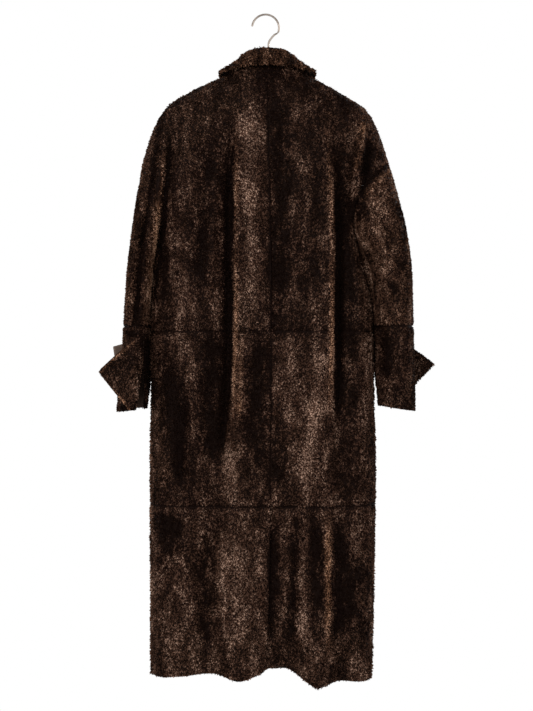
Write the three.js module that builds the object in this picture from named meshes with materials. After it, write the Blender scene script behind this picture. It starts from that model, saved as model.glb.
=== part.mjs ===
// A long shearling coat on a hanger, seen from behind as it hangs.
// Millimetres, +Z up. The coat's back faces -Y and its front +Y. The origin is where the
// hook bears on the peg that holds it. Cloth pieces are closed walls 0.3 mm apart at seams.

import * as THREE from 'three';

// Cloth
const clothWall = 5; // leather and clipped wool together
const collarWall = 5;
const seamGap = 0.3;

// Heights
const underarmZ = -425;
const shoulderEndZ = -292; // where the dropped shoulder ends and the sleeve is sewn on
const waistSeamZ = -632;
const kneeSeamZ = -974;
const sleeveSeamZ = -621;
const farBelowZ = -1600; // the outline runs on past the hem

// Body
const backDepth = 60; // from the side seams to the middle of the back
const frontDepth = 55;
const sideRound = 85; // width over which the sides and shoulders round away
const reliefFade = 26; // folds die out this near to the outline
const neckMiddle = 2;
const neckHalf = 84;
const neckBackZ = -146;
const neckFrontZ = -196;
const neckSideZ = -120;
const neckPeakZ = -82; // the shoulder slopes would meet here
const ventLap = 36;
const frontLap = 26;
const frontMiddle = 3;
const ventStep = 8; // the layer under the vent's lap lies this far under the one on top
const ventSlope = 12;
const frontStep = 7;
const lapInnerX = -25; // the left front is fully under the right one from here to its edge
const lapSlope = 13;

// Counts of steps in the grids
const armSteps = 10;
const ringSteps = 2 * armSteps;
const chestRows = 5;
const skirtRows = 8;
const cuffRows = 6;
const sleeveRows = 12;
const flapSteps = 6;
const collarSteps = 26;

// Outline of the body from behind. Between shoulder end and underarm it runs inside the sleeve.
const outline = [
  { z: -124, left: -90, right: 94 },
  { z: -145, left: -138, right: 134 },
  { z: -163, left: -170, right: 162 },
  { z: -176, left: -194, right: 188 },
  { z: -193, left: -211, right: 207 },
  { z: -210, left: -220, right: 218 },
  { z: -234, left: -229, right: 228 },
  { z: -274, left: -241, right: 241 },
  { z: -292, left: -246, right: 246 },
  { z: -330, left: -252, right: 247 },
  { z: -362, left: -248, right: 239 },
  { z: -388, left: -236, right: 217 },
  { z: -408, left: -222, right: 193 },
  { z: -428, left: -212, right: 176.5 },
  { z: -450, left: -212.6, right: 179 },
  { z: -474, left: -217, right: 186 },
  { z: -514, left: -223, right: 194 },
  { z: -540, left: -226, right: 204 },
  { z: -566, left: -228, right: 212 },
  { z: -632, left: -229.5, right: 216 },
  { z: -770, left: -230.5, right: 218.5 },
  { z: -894, left: -232.5, right: 222 },
  { z: -982, left: -232.5, right: 221 },
  { z: -1150, left: -231.5, right: 218 },
  { z: -1330, left: -231.5, right: 214 },
  { z: farBelowZ, left: -231.5, right: 214 },
];

// The sleeves' edges from behind, and half their depth from back to front.
const sleeves = {
  left: [
    { z: -292, outer: -246, inner: -210, depth: 52 },
    { z: -334, outer: -252, inner: -211, depth: 58 },
    { z: -374, outer: -259, inner: -212, depth: 62 },
    { z: -442, outer: -267, inner: -216.8, depth: 65 },
    { z: -474, outer: -272, inner: -220.5, depth: 65 },
    { z: -514, outer: -276, inner: -224.5, depth: 66 },
    { z: -602, outer: -282, inner: -230.5, depth: 66 },
    { z: -680, outer: -287, inner: -231.5, depth: 64 },
    { z: -740, outer: -293, inner: -232.5, depth: 62 },
    { z: -792, outer: -297, inner: -238, depth: 60 },
  ],
  right: [
    { z: -292, outer: 246, inner: 176, depth: 52 },
    { z: -334, outer: 259, inner: 176, depth: 57 },
    { z: -374, outer: 269, inner: 177, depth: 60 },
    { z: -425, outer: 281, inner: 178.5, depth: 61 },
    { z: -460, outer: 287, inner: 191, depth: 61 },
    { z: -514, outer: 293, inner: 211, depth: 61 },
    { z: -602, outer: 295, inner: 217.5, depth: 61 },
    { z: -680, outer: 297, inner: 219, depth: 60 },
    { z: -740, outer: 299, inner: 222, depth: 58 },
    { z: -792, outer: 299, inner: 226, depth: 57 },
  ],
};

// The two long folds of the back: x of the crest, how far it rises, and how deep and how far
// off the valley at its outer side lies.
const longFolds = {
  left: [
    { z: -146, crest: -48, rise: 2, drop: 0, away: 15 },
    { z: -249, crest: -53, rise: 10, drop: 8, away: 15 },
    { z: -330, crest: -58, rise: 15, drop: 14, away: 14 },
    { z: -632, crest: -57, rise: 15, drop: 15, away: 14 },
    { z: -806, crest: -61, rise: 13, drop: 12, away: 16 },
    { z: -974, crest: -70, rise: 12, drop: 7, away: 20 },
    { z: -1134, crest: -72, rise: 13, drop: 6, away: 26 },
    { z: -1320, crest: -62, rise: 12, drop: 6, away: 30 },
  ],
  right: [
    { z: -146, crest: 104, rise: 0, drop: 0, away: 14 },
    { z: -245, crest: 121, rise: 5, drop: 8, away: 14 },
    { z: -330, crest: 133, rise: 12, drop: 18, away: 14 },
    { z: -632, crest: 131, rise: 15, drop: 19, away: 15 },
    { z: -806, crest: 128, rise: 13, drop: 15, away: 16 },
    { z: -974, crest: 124, rise: 11, drop: 10, away: 17 },
    { z: -1134, crest: 123, rise: 9, drop: 7, away: 18 },
    { z: -1320, crest: 121, rise: 9, drop: 6, away: 20 },
  ],
};
const crestFlank = 46; // the crest eases off over this width towards the centre seam
const valleyFlank = 30;

// Shorter folds of the back. Each runs from its top to its low end; rise is negative for a trough.
const shortFolds = [
  { name: 'left blade trough', topZ: -262, topX: -110, lowZ: -520, lowX: -132, rise: -7, half: 12 },
  { name: 'left sleeve crease', topZ: -215, topX: -188, lowZ: -455, lowX: -207, rise: -15, half: 11 },
  { name: 'left shoulder roll', topZ: -205, topX: -200, lowZ: -420, lowX: -221, rise: 5, half: 9 },
  { name: 'left hip trough', topZ: -700, topX: -160, lowZ: -990, lowX: -168, rise: -7, half: 15 },
  { name: 'left knee trough', topZ: -930, topX: -118, lowZ: -1420, lowX: -128, rise: -8, half: 18 },
  { name: 'centre right hollow', topZ: -160, topX: 30, lowZ: -700, lowX: 34, rise: -4, half: 22 },
  { name: 'right shoulder ridge', topZ: -190, topX: 194, lowZ: -420, lowX: 172, rise: 9, half: 12 },
  { name: 'right shoulder crease', topZ: -225, topX: 214, lowZ: -430, lowX: 190, rise: -11, half: 10 },
  { name: 'right knee ridge', topZ: -940, topX: 79, lowZ: -1290, lowX: 66, rise: 6, half: 11 },
  { name: 'right side swell', topZ: -560, topX: 192, lowZ: -1000, lowX: 190, rise: 4, half: 16 },
];

// Folds that open towards the hem: where they start, their centre and rise at the hem.
const hemFlares = [
  { face: 'back', startZ: -1000, x: -52, rise: 22, half: 34 },
  { face: 'back', startZ: -985, x: 96, rise: 42, half: 24 },
  { face: 'back', startZ: -1080, x: 24, rise: -14, half: 24 },
  { face: 'back', startZ: -1050, x: 168, rise: 8, half: 22 },
  { face: 'front', startZ: -760, x: -140, rise: 18, half: 30 },
  { face: 'front', startZ: -820, x: -62, rise: -8, half: 24 },
  { face: 'front', startZ: -700, x: 118, rise: 20, half: 32 },
  { face: 'front', startZ: -860, x: 58, rise: -7, half: 24 },
];

// Soft folds of the plain front, from chest to hem.
const frontFolds = [
  { name: 'front left fall', topZ: -230, topX: -128, lowZ: -1120, lowX: -138, rise: 10, half: 20 },
  { name: 'front left hollow', topZ: -260, topX: -166, lowZ: -900, lowX: -172, rise: -8, half: 16 },
  { name: 'front right fall', topZ: -230, topX: 122, lowZ: -1080, lowX: 116, rise: 10, half: 20 },
  { name: 'front right hollow', topZ: -260, topX: 156, lowZ: -940, lowX: 158, rise: -8, half: 16 },
];

const hemBack = [
  { z: -232, drop: -1314 },
  { z: -150, drop: -1304 },
  { z: -96, drop: -1300 },
  { z: -52, drop: -1306 },
  { z: -4, drop: -1298 },
  { z: 6, drop: -1284 },
  { z: 44, drop: -1290 },
  { z: 98, drop: -1316 },
  { z: 150, drop: -1313 },
  { z: 216, drop: -1324 },
];
const hemFrontZ = -1318;

const centreSeam = [
  { z: -130, x: 3 },
  { z: -330, x: 7 },
  { z: -632, x: 11 },
  { z: -974, x: 9 },
  { z: -1200, x: 5 },
  { z: -1330, x: -6 },
];

// Collar, by turn round the neck: 0 at the back, 180 at the front. Fold and edge of the fall.
const collar = [
  { turn: 0, foldZ: -76, edgeZ: -111 },
  { turn: 30, foldZ: -78, edgeZ: -111 },
  { turn: 47, foldZ: -89, edgeZ: -114 },
  { turn: 71, foldZ: -96, edgeZ: -114 },
  { turn: 90, foldZ: -96, edgeZ: -112 },
  { turn: 120, foldZ: -110, edgeZ: -146 },
  { turn: 150, foldZ: -140, edgeZ: -208 },
  { turn: 176, foldZ: -166, edgeZ: -240 },
];
const collarMiddle = 4;
const collarFoldHalf = { x: 66, back: 46, front: 48 };
const collarEdgeHalf = { x: 97, back: 66, front: 80 };
// Section of the fall where it rolls over the stand: outwards and down from the fold.
const collarRoll = [
  { out: -2, down: 0.5 },
  { out: 5, down: 1 },
  { out: 10, down: 8 },
];

// Turned back cuff corners. out is measured from the sleeve's middle, away from the body, and
// play is the room left between a corner and the cuff it lies on.
const cuffFlaps = [
  {
    name: 'cuff_flap_left', side: 'left', face: -1, lean: 12, play: 1.8,
    top: { out: -6, z: -646 }, low: { out: -17, z: -761 }, tip: { out: 66, z: -711 },
    foot: { out: -2, z: -785 },
  },
  {
    name: 'cuff_corner_left', side: 'left', face: 1, lean: 20, play: 1.8,
    top: { out: -6, z: -644 }, low: { out: 4, z: -716 }, tip: { out: 55, z: -662 },
    foot: { out: 47, z: -706 },
  },
  {
    name: 'cuff_flap_right', side: 'right', face: 1, lean: 12, play: 0.9,
    top: { out: 3, z: -630 }, low: { out: -12, z: -748 }, tip: { out: 89, z: -697 },
    foot: { out: 15, z: -772 },
  },
];
const cuffSlits = {
  left: { turn: 141, face: -1, opening: 20 },
  right: { turn: 141, face: 1, opening: 20 },
};
const slitSeam = 0.5; // half the slit's angle at its closed top, in degrees
const cuffEnds = { left: { outer: -790, inner: -785 }, right: { outer: -789, inner: -779 } };

// Hanger
const barThick = 12;
const barMiddle = { x: 6, z: -112, deep: 34 };
const barEndDeep = 14;
const barEnds = { left: -188, right: 172 };
const barPlay = 4.5; // from the bar's top to the inside of the shoulder
const wireRound = 2;
const hookSteps = 32;
const hookRound = 27; // to the middle of the wire
const shankPoints = [
  { x: 21.5, z: -36 },
  { x: 12, z: -45 },
  { x: 6.6, z: -54 },
  { x: 6, z: -66 },
  { x: 6, z: -90 },
];

const colours = {
  cloth: 0x33211a,
  clothLight: 0x4a342a,
  wood: 0xb99a72,
  steel: 0xb8bcc0,
};

const clamp = (value, low, high) => Math.min(high, Math.max(low, value));
const mix = (a, b, t) => a + (b - a) * t;
const ease = (t) => clamp(t, 0, 1) ** 2 * (3 - 2 * clamp(t, 0, 1));
const bell = (d) => Math.exp(-d * d);
const radians = (degrees) => (degrees * Math.PI) / 180;
const sideSign = (side) => (side === 'left' ? -1 : 1);

// One column of a table at a place between two rows, without overshoot.
function read(table, column, place, key = 'z') {
  const down = table[0][key] > table[1][key];
  let i = 0;
  while (i < table.length - 2 && (down ? place < table[i + 1][key] : place > table[i + 1][key])) i += 1;
  const slope = (k) => (table[k + 1][column] - table[k][column]) / (table[k + 1][key] - table[k][key]);
  const joint = (p, q) => (p * q <= 0 ? 0 : (2 * p * q) / (p + q));
  const here = slope(i);
  const startSlope = i > 0 ? joint(slope(i - 1), here) : here;
  const endSlope = i < table.length - 2 ? joint(here, slope(i + 1)) : here;
  const run = table[i + 1][key] - table[i][key];
  const t = clamp((place - table[i][key]) / run, 0, 1);
  const rest = 1 - t;
  return (
    table[i][column] * (1 + 2 * t) * rest * rest +
    table[i + 1][column] * (3 - 2 * t) * t * t +
    run * (startSlope * t * rest * rest - endSlope * t * t * rest)
  );
}

// Distance from a point of the panel to the outline, measured flat.
function insideOutline(x, z) {
  const edge = (row, side) => ({ x: row[side], z: row.z });
  let nearest = Infinity;
  for (const side of ['left', 'right']) {
    const points = [{ x: neckMiddle, z: neckPeakZ }, ...outline.map((row) => edge(row, side))];
    for (let i = 0; i + 1 < points.length; i += 1) {
      const [a, b] = [points[i], points[i + 1]];
      const [dx, dz] = [b.x - a.x, b.z - a.z];
      const t = clamp(((x - a.x) * dx + (z - a.z) * dz) / (dx * dx + dz * dz), 0, 1);
      nearest = Math.min(nearest, Math.hypot(x - a.x - dx * t, z - a.z - dz * t));
    }
  }
  return nearest;
}

function shortFoldRise(fold, x, z) {
  const t = (fold.topZ - z) / (fold.topZ - fold.lowZ);
  if (t <= 0 || t >= 1) return 0;
  const fullness = ease(4 * t) * ease(3 * (1 - t));
  return fold.rise * fullness * bell((x - mix(fold.topX, fold.lowX, t)) / fold.half);
}

function longFoldRise(side, x, z) {
  const table = longFolds[side];
  const beyond = (x - read(table, 'crest', z)) * sideSign(side);
  const [rise, drop, away] = ['rise', 'drop', 'away'].map((column) => read(table, column, z));
  if (beyond < 0) return rise * bell(beyond / crestFlank);
  if (beyond < away) return mix(rise, -drop, ease(beyond / away));
  return -drop * bell((beyond - away) / valleyFlank);
}

function flareRise(face, x, z) {
  const flares = hemFlares.filter((flare) => flare.face === face && z < flare.startZ);
  return flares.reduce((sum, flare) => {
    const t = (flare.startZ - z) / (flare.startZ - hemFrontZ);
    return sum + flare.rise * t * ease(1.2 * t) * bell((x - flare.x) / flare.half);
  }, 0);
}

// How far the back or front stands off the plane of the side seams.
function standOff(face, x, z) {
  const inset = insideOutline(x, z);
  const round = Math.sqrt(1 - (1 - Math.min(inset / sideRound, 1)) ** 2);
  const back = face === 'back';
  const short = back ? shortFolds : frontFolds;
  let relief = flareRise(face, x, z) + short.reduce((sum, fold) => sum + shortFoldRise(fold, x, z), 0);
  if (back) relief += longFoldRise('left', x, z) + longFoldRise('right', x, z);
  return Math.max((back ? backDepth : frontDepth) * round + relief * ease(inset / reliefFade), 0);
}

const faceSign = (face) => (face === 'back' ? -1 : 1);
const surfacePoint = (face, x, z, under = 0) =>
  new THREE.Vector3(x, faceSign(face) * Math.max(standOff(face, x, z) - under, seamGap / 2), z);

// Direction out of the cloth at a place on the back or front.
function surfaceOut(face, x, z) {
  const step = 1.5;
  const slopeX = (standOff(face, x + step, z) - standOff(face, x - step, z)) / (2 * step);
  const slopeZ = (standOff(face, x, z + step) - standOff(face, x, z - step)) / (2 * step);
  return new THREE.Vector3(-slopeX, faceSign(face), -slopeZ).normalize();
}

// The neck edge at x, and the top edge of a panel as far as the shoulder's end.
function topZ(face, x, side) {
  const half = Math.abs(x - neckMiddle) / neckHalf;
  if (half <= 1) return mix(face === 'back' ? neckBackZ : neckFrontZ, neckSideZ, half ** 2);
  const shoulder = outline.filter((row) => row.z >= shoulderEndZ);
  return read(shoulder, 'z', x, side);
}

// The armhole edge: share 0 at the shoulder's end, 1 at the underarm.
function armholePlace(side, share) {
  const top = read(outline, side, shoulderEndZ);
  const under = read(outline, side, underarmZ) - sideSign(side) * 0.5;
  return { x: under + (top - under) * (1 - share) ** 3, z: mix(shoulderEndZ, underarmZ, share) };
}

const armShare = (step) => (1 - Math.cos((Math.PI * step) / armSteps)) / 2;

function armholeOut(face, side, share) {
  const { x, z } = armholePlace(side, share);
  const down = share ** 6;
  const out = surfaceOut(face, x - sideSign(side) * 2, z).multiplyScalar(1 - down);
  out.z -= down;
  if (share < 0.01 || share > 0.99) out.y = 0;
  return out.normalize();
}

// A closed wall between a grid of outer points and the same grid moved in by its thickness.
function wallGeometry(rows, outs, thickness, around = false) {
  const height = rows.length;
  const width = rows[0].length;
  const inner = rows.map((row, i) => row.map((p, j) => p.clone().addScaledVector(outs[i][j], -thickness)));
  const corners = [...rows.flat(), ...inner.flat()];
  const at = (layer, i, j) => layer * height * width + i * width + (j % width);
  const index = [];
  const quad = (a, b, c, d) => index.push(a, b, c, a, c, d);
  const lastColumn = around ? width : width - 1;
  for (let i = 0; i + 1 < height; i += 1) {
    for (let j = 0; j < lastColumn; j += 1) {
      quad(at(0, i, j), at(0, i + 1, j), at(0, i + 1, j + 1), at(0, i, j + 1));
      quad(at(1, i, j), at(1, i, j + 1), at(1, i + 1, j + 1), at(1, i + 1, j));
    }
    if (!around) {
      quad(at(0, i, 0), at(1, i, 0), at(1, i + 1, 0), at(0, i + 1, 0));
      quad(at(0, i + 1, width - 1), at(1, i + 1, width - 1), at(1, i, width - 1), at(0, i, width - 1));
    }
  }
  for (let j = 0; j < lastColumn; j += 1) {
    quad(at(0, 0, j + 1), at(1, 0, j + 1), at(1, 0, j), at(0, 0, j));
    quad(at(0, height - 1, j), at(1, height - 1, j), at(1, height - 1, j + 1), at(0, height - 1, j + 1));
  }
  const positions = new Float32Array(corners.flatMap((p) => [p.x, p.y, p.z]));
  let volume = 0;
  for (let k = 0; k < index.length; k += 3) {
    const [a, b, c] = [corners[index[k]], corners[index[k + 1]], corners[index[k + 2]]];
    volume += a.dot(b.clone().cross(c));
  }
  if (volume < 0) index.reverse();
  const geometry = new THREE.BufferGeometry();
  geometry.setAttribute('position', new THREE.BufferAttribute(positions, 3));
  geometry.setIndex(index);
  geometry.computeVertexNormals();
  return geometry;
}

// Directions out of a grid, from its own slopes. outwards(p) tells roughly which way is out,
// and settle(out, i, j) turns those on a seam into the seam's plane.
function gridOuts(rows, outwards, settle, around = false) {
  const height = rows.length;
  const width = rows[0].length;
  const column = (j) => (around ? (j + width) % width : clamp(j, 0, width - 1));
  return rows.map((row, i) =>
    row.map((p, j) => {
      const down = rows[Math.min(i + 1, height - 1)][j].clone().sub(rows[Math.max(i - 1, 0)][j]);
      const across = row[column(j + 1)].clone().sub(row[column(j - 1)]);
      const out = across.cross(down).normalize();
      if (out.dot(outwards(p)) < 0) out.negate();
      return settle(out, i, j).normalize();
    }),
  );
}

function clothMesh(name, geometry, colour = colours.cloth) {
  const material = new THREE.MeshStandardMaterial({ color: colour, roughness: 0.95, metalness: 0 });
  const mesh = new THREE.Mesh(geometry, material);
  mesh.name = name;
  return mesh;
}

// Columns of a half panel, from its centre edge to its side edge. On the back they gather at
// the long fold's crest and valley.
const columnPlans = {
  lap: [{ to: 'seam', steps: 3 }],
  left: [
    { to: 'crest', steps: 4 },
    { to: 'valley', steps: 1 },
    { to: 'edge', steps: 9 },
  ],
  right: [
    { to: 'crest', steps: 6 },
    { to: 'valley', steps: 1 },
    { to: 'edge', steps: 6 },
  ],
  frontLeft: [
    { to: 'lap', steps: 2 },
    { to: 'lapFoot', steps: 1 },
    { to: 'edge', steps: 7 },
  ],
  frontRight: [{ to: 'edge', steps: 10 }],
};
// Of those columns, how many meet the neck edge; the others meet the shoulder.
const neckColumns = { back: { left: 8, right: 5 }, front: { left: 6, right: 6 } };

function columnPlaces(face, side, z, edgeX, centreX, lapped = false) {
  const own = columnPlans[face === 'back' ? side : { left: 'frontLeft', right: 'frontRight' }[side]];
  const plan = lapped && side === 'right' ? [...columnPlans.lap, ...own] : own;
  const crest = read(longFolds[side], 'crest', z);
  const valley = crest + sideSign(side) * read(longFolds[side], 'away', z);
  const seam = read(centreSeam, 'x', z);
  const targets = { seam, crest, valley, edge: edgeX, lap: lapInnerX, lapFoot: lapInnerX - lapSlope };
  const places = [centreX];
  for (const { to, steps } of plan) {
    const from = places.at(-1);
    for (let k = 1; k <= steps; k += 1) places.push(mix(from, targets[to], k / steps));
  }
  return places;
}

// Places of the same columns along the neck edge and the shoulder.
function topPlaces(face, side, count) {
  const neck = neckColumns[face][side];
  const centreX = centreEdge(face, side, neckBackZ);
  const neckX = neckMiddle + sideSign(side) * neckHalf;
  const endX = armholePlace(side, 0).x;
  return [...Array(count).keys()].map((k) =>
    k <= neck
      ? mix(centreX, neckX, Math.sin((Math.PI * k) / (2 * neck)))
      : mix(neckX, endX, (k - neck) / (count - 1 - neck)),
  );
}

// The centre edge of a half panel: a seam on the back, a lap on the front and at the vent.
function centreEdge(face, side, z, lapped) {
  if (face === 'front') return frontMiddle - sideSign(side) * frontLap;
  const seam = read(centreSeam, 'x', z);
  if (!lapped) return seam + (sideSign(side) * seamGap) / 2;
  return side === 'right' ? seam - ventLap : seam;
}

// How far a point lies under the layer lapped on it.
function lapUnder(face, side, x, z, lapped) {
  if (face === 'front') return side === 'left' ? frontStep * ease((x - lapInnerX + lapSlope) / lapSlope) : 0;
  if (!lapped || side === 'left') return 0;
  return ventStep * ease((read(centreSeam, 'x', z) + ventSlope + 2 - x) / ventSlope);
}

// Rows of a half panel from the neck and shoulder to the underarm.
function yokeRows(face, side) {
  const sign = sideSign(side);
  const centreX = centreEdge(face, side, underarmZ);
  const underPlaces = columnPlaces(face, side, underarmZ, armholePlace(side, 1).x, centreX);
  const tops = topPlaces(face, side, underPlaces.length);
  const last = underPlaces.length - 1;
  const rows = [];
  for (let i = 0; i <= armSteps; i += 1) {
    const share = armShare(i);
    rows.push(
      underPlaces.map((underX, j) => {
        const bend = 1 + 2 * (j / last) ** 4;
        const x = underX + (tops[j] - underX) * (1 - share) ** bend;
        const z = mix(topZ(face, tops[j], side), underarmZ, share);
        const point = surfacePoint(face, x, z, lapUnder(face, side, x, z));
        if (i === 0 && j >= neckColumns[face][side]) point.y = (faceSign(face) * seamGap) / 2;
        return point;
      }),
    );
    if (i === armSteps || i === 0) rows[i][last].y = (faceSign(face) * seamGap) / 2;
    rows[i][last].x -= sign * 0.02;
  }
  return rows;
}

// Rows of a half panel between two heights; low(x) gives the bottom edge.
function fallRows(face, side, fromZ, low, count, lapped = false) {
  const rows = [];
  for (let i = 0; i <= count; i += 1) {
    const level = mix(fromZ, low(0), i / count);
    const edgeX = read(outline, side, level);
    const places = columnPlaces(face, side, level, edgeX, centreEdge(face, side, level, lapped), lapped);
    rows.push(
      places.map((x) => {
        const z = mix(fromZ, low(x), i / count);
        return surfacePoint(face, x, z, lapUnder(face, side, x, z, lapped));
      }),
    );
    rows[i].at(-1).y = (faceSign(face) * seamGap) / 2;
  }
  return rows;
}

// A half panel's wall. open names the edges that are free: top, low, centre.
function panelGeometry(face, side, rows, { yoke = false, free = [] } = {}) {
  const last = rows[0].length - 1;
  const settle = (out, i, j) => {
    if (yoke && j === last && i <= armSteps) return armholeOut(face, side, armShare(i));
    if (j === last) out.y = 0;
    if (j === 0 && !free.includes('centre')) out.x = 0;
    if (i === 0 && yoke && j >= neckColumns[face][side]) out.y = 0;
    if (i === 0 && !yoke) out.z = 0;
    if (i === rows.length - 1 && !free.includes('low')) out.z = 0;
    return out;
  };
  const upwards = (z) => Math.max(z + 300, 0) / 200;
  const outwards = (p) => new THREE.Vector3(Math.sign(p.x) * 0.3, faceSign(face), upwards(p.z));
  return wallGeometry(rows, gridOuts(rows, outwards, settle), clothWall);
}

function backPanels() {
  const meshes = [];
  for (const side of ['left', 'right']) {
    const chest = fallRows('back', side, underarmZ, () => waistSeamZ + seamGap / 2, chestRows);
    const upper = [...yokeRows('back', side), ...chest.slice(1)];
    meshes.push(clothMesh(`back_upper_${side}`, panelGeometry('back', side, upper, { yoke: true })));
    const middleLow = () => kneeSeamZ + seamGap / 2;
    const middle = fallRows('back', side, waistSeamZ - seamGap / 2, middleLow, skirtRows);
    meshes.push(clothMesh(`back_middle_${side}`, panelGeometry('back', side, middle)));
    const hem = (x) => read(hemBack, 'drop', x);
    const lower = fallRows('back', side, kneeSeamZ - seamGap / 2, hem, skirtRows, true);
    const lowerPanel = panelGeometry('back', side, lower, { free: ['low', 'centre'] });
    meshes.push(clothMesh(`back_lower_${side}`, lowerPanel));
  }
  return meshes;
}

function frontPanels() {
  return ['left', 'right'].map((side) => {
    const fall = fallRows('front', side, underarmZ, () => hemFrontZ, chestRows + 2 * skirtRows - 4);
    const rows = [...yokeRows('front', side), ...fall.slice(1)];
    const panel = panelGeometry('front', side, rows, { yoke: true, free: ['low', 'centre'] });
    return clothMesh(`front_${side}`, panel);
  });
}

// Point of a sleeve's oval section. turn is 0 at the outer edge, 90 at the back, 180 inside.
function sleevePoint(side, turn, z, groove = 0) {
  const table = sleeves[side];
  const [outer, inner, depth] = ['outer', 'inner', 'depth'].map((column) => read(table, column, z));
  const angle = radians(turn);
  const reach = Math.sin(angle) * (depth - groove * bell((turn - 92) / 15));
  return new THREE.Vector3((outer + inner) / 2 + ((outer - inner) / 2) * Math.cos(angle), -reach, z);
}

// The left sleeve is creased lengthwise at its back; the right one only softly.
const sleeveGroove = { left: 15, right: 3 };
const armholeShift = 0.35;

function sleeveMesh(side) {
  const sign = sideSign(side);
  const lowZ = sleeveSeamZ + seamGap / 2;
  const rows = [];
  for (let i = 0; i <= sleeveRows; i += 1) {
    const t = i / sleeveRows;
    const blend = ease(t / 0.4);
    const row = [];
    for (let j = 0; j < ringSteps; j += 1) {
      const turn = (360 * j) / ringSteps;
      const face = turn <= 180 ? 'back' : 'front';
      const place = armholePlace(side, (1 - Math.cos(radians(turn))) / 2);
      const start = surfacePoint(face, place.x, place.z);
      if (j % armSteps === 0) start.y = 0;
      const z = mix(start.z, lowZ, t);
      const groove = sleeveGroove[side] * ease(3 * t);
      const point = sleevePoint(side, turn, z, turn <= 180 ? groove : 0.4 * groove);
      point.addScaledVector(start.sub(sleevePoint(side, turn, start.z)), 1 - blend);
      point.z = z - armholeShift * (1 - t);
      point.x += sign * armholeShift * (1 - t);
      row.push(point);
    }
    rows.push(row);
  }
  const outwards = (p) => {
    const middle = (read(sleeves[side], 'outer', p.z) + read(sleeves[side], 'inner', p.z)) / 2;
    return new THREE.Vector3(p.x - middle, p.y, 0);
  };
  const settle = (out, i, j) => {
    if (i === 0) {
      const turn = (360 * j) / ringSteps;
      return armholeOut(turn <= 180 ? 'back' : 'front', side, (1 - Math.cos(radians(turn))) / 2);
    }
    if (i === sleeveRows) out.z = 0;
    return out;
  };
  const geometry = wallGeometry(rows, gridOuts(rows, outwards, settle, true), clothWall, true);
  return clothMesh(`sleeve_${side}`, geometry);
}

// The deep cuff below the sleeve's seam. Its slit opens downwards.
function cuffMesh(side) {
  const slit = cuffSlits[side];
  const slitTurn = slit.face < 0 ? slit.turn : 360 - slit.turn;
  const rows = [];
  for (let i = 0; i <= cuffRows; i += 1) {
    const t = i / cuffRows;
    const half = slitSeam + slit.opening * ease(1.15 * t - 0.15);
    const row = [];
    for (let j = 0; j <= ringSteps; j += 1) {
      const turn = (slitTurn + half + ((360 - 2 * half) * j) / ringSteps) % 360;
      const inner = (1 - Math.cos(radians(turn))) / 2;
      const end = mix(cuffEnds[side].outer, cuffEnds[side].inner, inner);
      const fade = turn <= 180 ? 1 - ease(1.6 * t) : 0.4 * (1 - t);
      const groove = sleeveGroove[side] * fade;
      row.push(sleevePoint(side, turn, mix(sleeveSeamZ - seamGap / 2, end, t), groove));
    }
    rows.push(row);
  }
  const outwards = (p) => {
    const middle = (read(sleeves[side], 'outer', p.z) + read(sleeves[side], 'inner', p.z)) / 2;
    return new THREE.Vector3(p.x - middle, p.y, 0);
  };
  const settle = (out, i) => {
    if (i === 0) out.z = 0;
    return out;
  };
  return clothMesh(`cuff_${side}`, wallGeometry(rows, gridOuts(rows, outwards, settle), clothWall));
}

// A corner of the cuff turned back over it, soft at its fold and pointed at its free corner.
function flapMesh({ name, side, face, lean, play, top, low, tip, foot }) {
  const sign = sideSign(side);
  const rows = [];
  for (let i = 0; i <= flapSteps; i += 1) {
    const q = i / flapSteps;
    const row = [];
    for (let j = 0; j <= flapSteps; j += 1) {
      const p = j / flapSteps;
      const out = mix(mix(top.out, low.out, q), mix(tip.out, foot.out, q), p);
      const z = mix(mix(top.z, low.z, q), mix(tip.z, foot.z, q), p);
      const columns = ['outer', 'inner', 'depth'];
      const [outer, inner, depth] = columns.map((column) => read(sleeves[side], column, z));
      const share = clamp((sign * 2 * out) / (outer - inner), -0.98, 0.98);
      const onSleeve = depth * Math.sqrt(1 - share ** 2);
      const clear = depth + play - lean * ease((out - 30) / 50);
      const near = mix(onSleeve + play, Math.max(clear, onSleeve + play), ease(p / 0.3));
      row.push(new THREE.Vector3((outer + inner) / 2 + sign * out, face * (near + clothWall), z));
    }
    rows.push(row);
  }
  const outs = gridOuts(rows, () => new THREE.Vector3(0, face, 0), (out) => out);
  return clothMesh(name, wallGeometry(rows, outs, clothWall), colours.clothLight);
}

// The neck edge by turn: 0 at the middle of the back, 90 at the side, 180 at the front.
function neckPoint(side, turn) {
  const x = neckMiddle + sideSign(side) * neckHalf * Math.sin(radians(turn));
  const face = turn <= 90 ? 'back' : 'front';
  return surfacePoint(face, x, topZ(face, x, side));
}

function collarRing(side, turn, half, zColumn) {
  const angle = radians(turn);
  const reach = Math.cos(angle) * (turn <= 90 ? half.back : half.front);
  const x = collarMiddle + sideSign(side) * half.x * Math.sin(angle);
  return new THREE.Vector3(x, -reach, read(collar, zColumn, turn, 'turn'));
}

// A strip of the collar from the front edge on the left, round the back, to the right.
function collarStrip(name, thickness, turnEnd, levels, place, settle) {
  const rows = [];
  for (let i = 0; i <= levels; i += 1) {
    const row = [];
    for (let j = 0; j <= collarSteps; j += 1) {
      const signed = mix(-turnEnd, turnEnd, j / collarSteps);
      row.push(place(signed < 0 ? 'left' : 'right', Math.abs(signed), i / levels));
    }
    rows.push(row);
  }
  const outwards = (p) => new THREE.Vector3(p.x - neckMiddle, p.y, 12);
  return clothMesh(name, wallGeometry(rows, gridOuts(rows, outwards, settle), thickness));
}

const standEnd = 172;
const fallEnd = 165;
const standLift = 0.8; // of the stand's foot over the neck edge
const frontLift = 3;
const foldPlay = 4.3; // between the stand's top and the fall that rolls over it
const frontPlay = 9;
const fallSteps = 3;

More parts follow.
